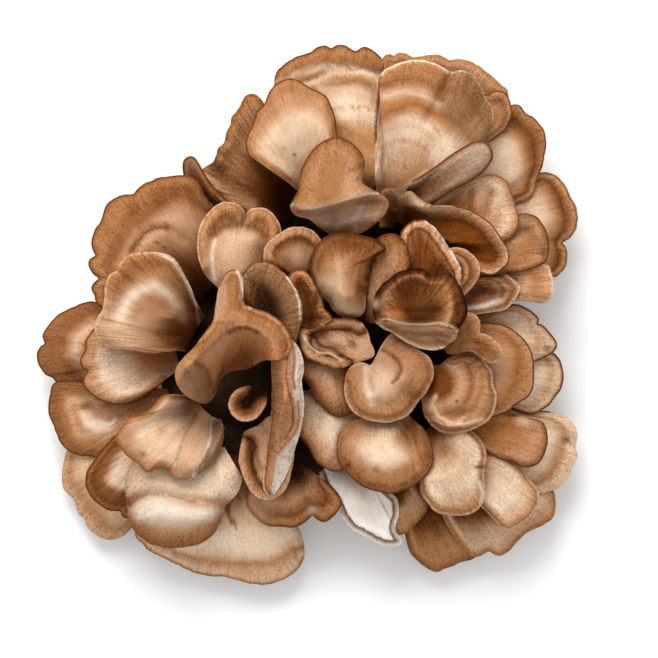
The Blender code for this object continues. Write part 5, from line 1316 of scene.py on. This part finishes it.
def stem_material():
    """Fibrous pale flesh, browned towards the cut, with specks of soil; painted shade makes the dome
    between the stalks near black and darkens whatever sees little of the sky.
    """
    n = Nodes("stem_flesh")
    place = n.place()
    fibre = n.noise(n.scaled(place, STEM_FIBRE), 1.0, 3.0, 0.6)
    cloud = n.noise(place, STEM_CLOUD, 3.0, 0.6)
    colour = n.ramp(cloud, [(0.3, "pale"), (0.5, "cream"), (0.72, "tan")])
    colour = n.paint(n.remap(fibre, 0.35, 0.7, 0.0, 0.5), colour, "sand")
    soil = n.math("MULTIPLY", n.remap(n.cells(place, SOIL), 0.06, 0.14, 0.8, 0.0),
                  n.remap(n.noise(place, SOILED), 0.5, 0.6), True)
    colour = n.paint(soil, colour, "dark")
    height = n.node("SeparateXYZ", (place,)).outputs[2]
    colour = n.paint(n.remap(height, 0.0, 0.012, 0.45, 0.0), colour, "brown")
    # Painted shade: the top of the dome, down among the stalks, is painted near black.
    colour = n.paint(n.remap(height, 0.023, 0.030, 0.0, 0.95), colour, "deep")
    # Painted shade where the stem sees little of the sky.
    colour = n.over(n.remap(n.attribute("open"), 0.05, 0.85, 1.0, 0.0), colour, STEM_PAINTED_SHADE)
    coarse = n.bump(fibre, 0.0008, 0.8)
    return n.finish(colour, n.remap(fibre, 0.3, 0.7, 0.65, 0.85), 0.0,
                    n.bump(n.noise(place, STEM_PORE), 0.0002, 0.6, coarse))


def floor_material():
    """Plain pale floor."""
    n = Nodes("floor_pale")
    stops = [(0.3, (0.93, 0.93, 0.93)), (0.7, (0.95, 0.95, 0.95))]
    n.put(n.ramp(n.noise(n.place(), 3.0), stops), n.shader.inputs["Base Color"])
    n.shader.inputs["Roughness"].default_value = 0.9
    return n.material


# ---------------------------------------------------------------- putting it together

SHAPE_SEED, COLOUR_SEED = 3.7, 5.3      # steps of the noise between one frond and the next

field = HeightField()
grids = [frond_grid(item, field, number * SHAPE_SEED + 1) for number, item in enumerate(FRONDS)]
stem = {"points": stem_points()}
openness(grids + [stem])
below = underside_material()
for number, (item, grid) in enumerate(zip(FRONDS, grids)):
    materials = [cap_material(item.name, item.look, number * COLOUR_SEED), below]
    piece = add_piece(frond_piece(item, grid), item.name + "_skin", item.name, materials)
piece = add_piece(stem_mesh(stem), "stem_base_skin", "stem_base", [stem_material()])

# ---------------------------------------------------------------- floor, light and camera

FLOOR_REACH = 6.0                       # metres
WORLD_STRENGTH = 0.85
LIGHT_PLACE, LIGHT_AIM = (-0.25, 1.0, 1.3), (0, 0, 0.05)
LIGHT_SIZE, LIGHT_WATTS = 1.1, 25.0
VIEW_DISTANCE = 5.0                     # metres above the middle of the mushroom
VIEW_WIDTH = 0.329                      # width of the picture there, metres
VIEW_CENTRE = (0.0105, -0.0065, 0.045)
SENSOR = 36.0
VIEW_END = 50.0

scene = bpy.context.scene
floor_mesh = bpy.data.meshes.new("floor")
floor_corners = [(x * FLOOR_REACH, y * FLOOR_REACH, 0) for x, y in ((-1, -1), (1, -1), (1, 1), (-1, 1))]
floor_mesh.from_pydata(floor_corners, [], [(0, 1, 2, 3)])
floor_mesh.materials.append(floor_material())
floor = bpy.data.objects.new("floor", floor_mesh)
scene.collection.objects.link(floor)

scene.view_settings.view_transform = "Standard"
world = bpy.data.worlds.new("studio")
world.use_nodes = True
world.node_tree.nodes["Background"].inputs["Color"].default_value = (1, 1, 1, 1)
world.node_tree.nodes["Background"].inputs["Strength"].default_value = WORLD_STRENGTH
scene.world = world

lamp = bpy.data.lights.new("key", "AREA")
lamp.shape, lamp.size, lamp.energy = "DISK", LIGHT_SIZE, LIGHT_WATTS
key = bpy.data.objects.new("key", lamp)
key.location = LIGHT_PLACE
aim = Vector(LIGHT_AIM) - Vector(LIGHT_PLACE)
key.rotation_euler = aim.to_track_quat("-Z", "Y").to_euler()
scene.collection.objects.link(key)

camera_data = bpy.data.cameras.new("camera")
camera_data.sensor_width = SENSOR
camera_data.lens = SENSOR * VIEW_DISTANCE / VIEW_WIDTH
camera_data.clip_end = VIEW_END
camera = bpy.data.objects.new("camera", camera_data)
camera.location = (VIEW_CENTRE[0], VIEW_CENTRE[1], VIEW_CENTRE[2] + VIEW_DISTANCE)
scene.collection.objects.link(camera)
scene.camera = camera
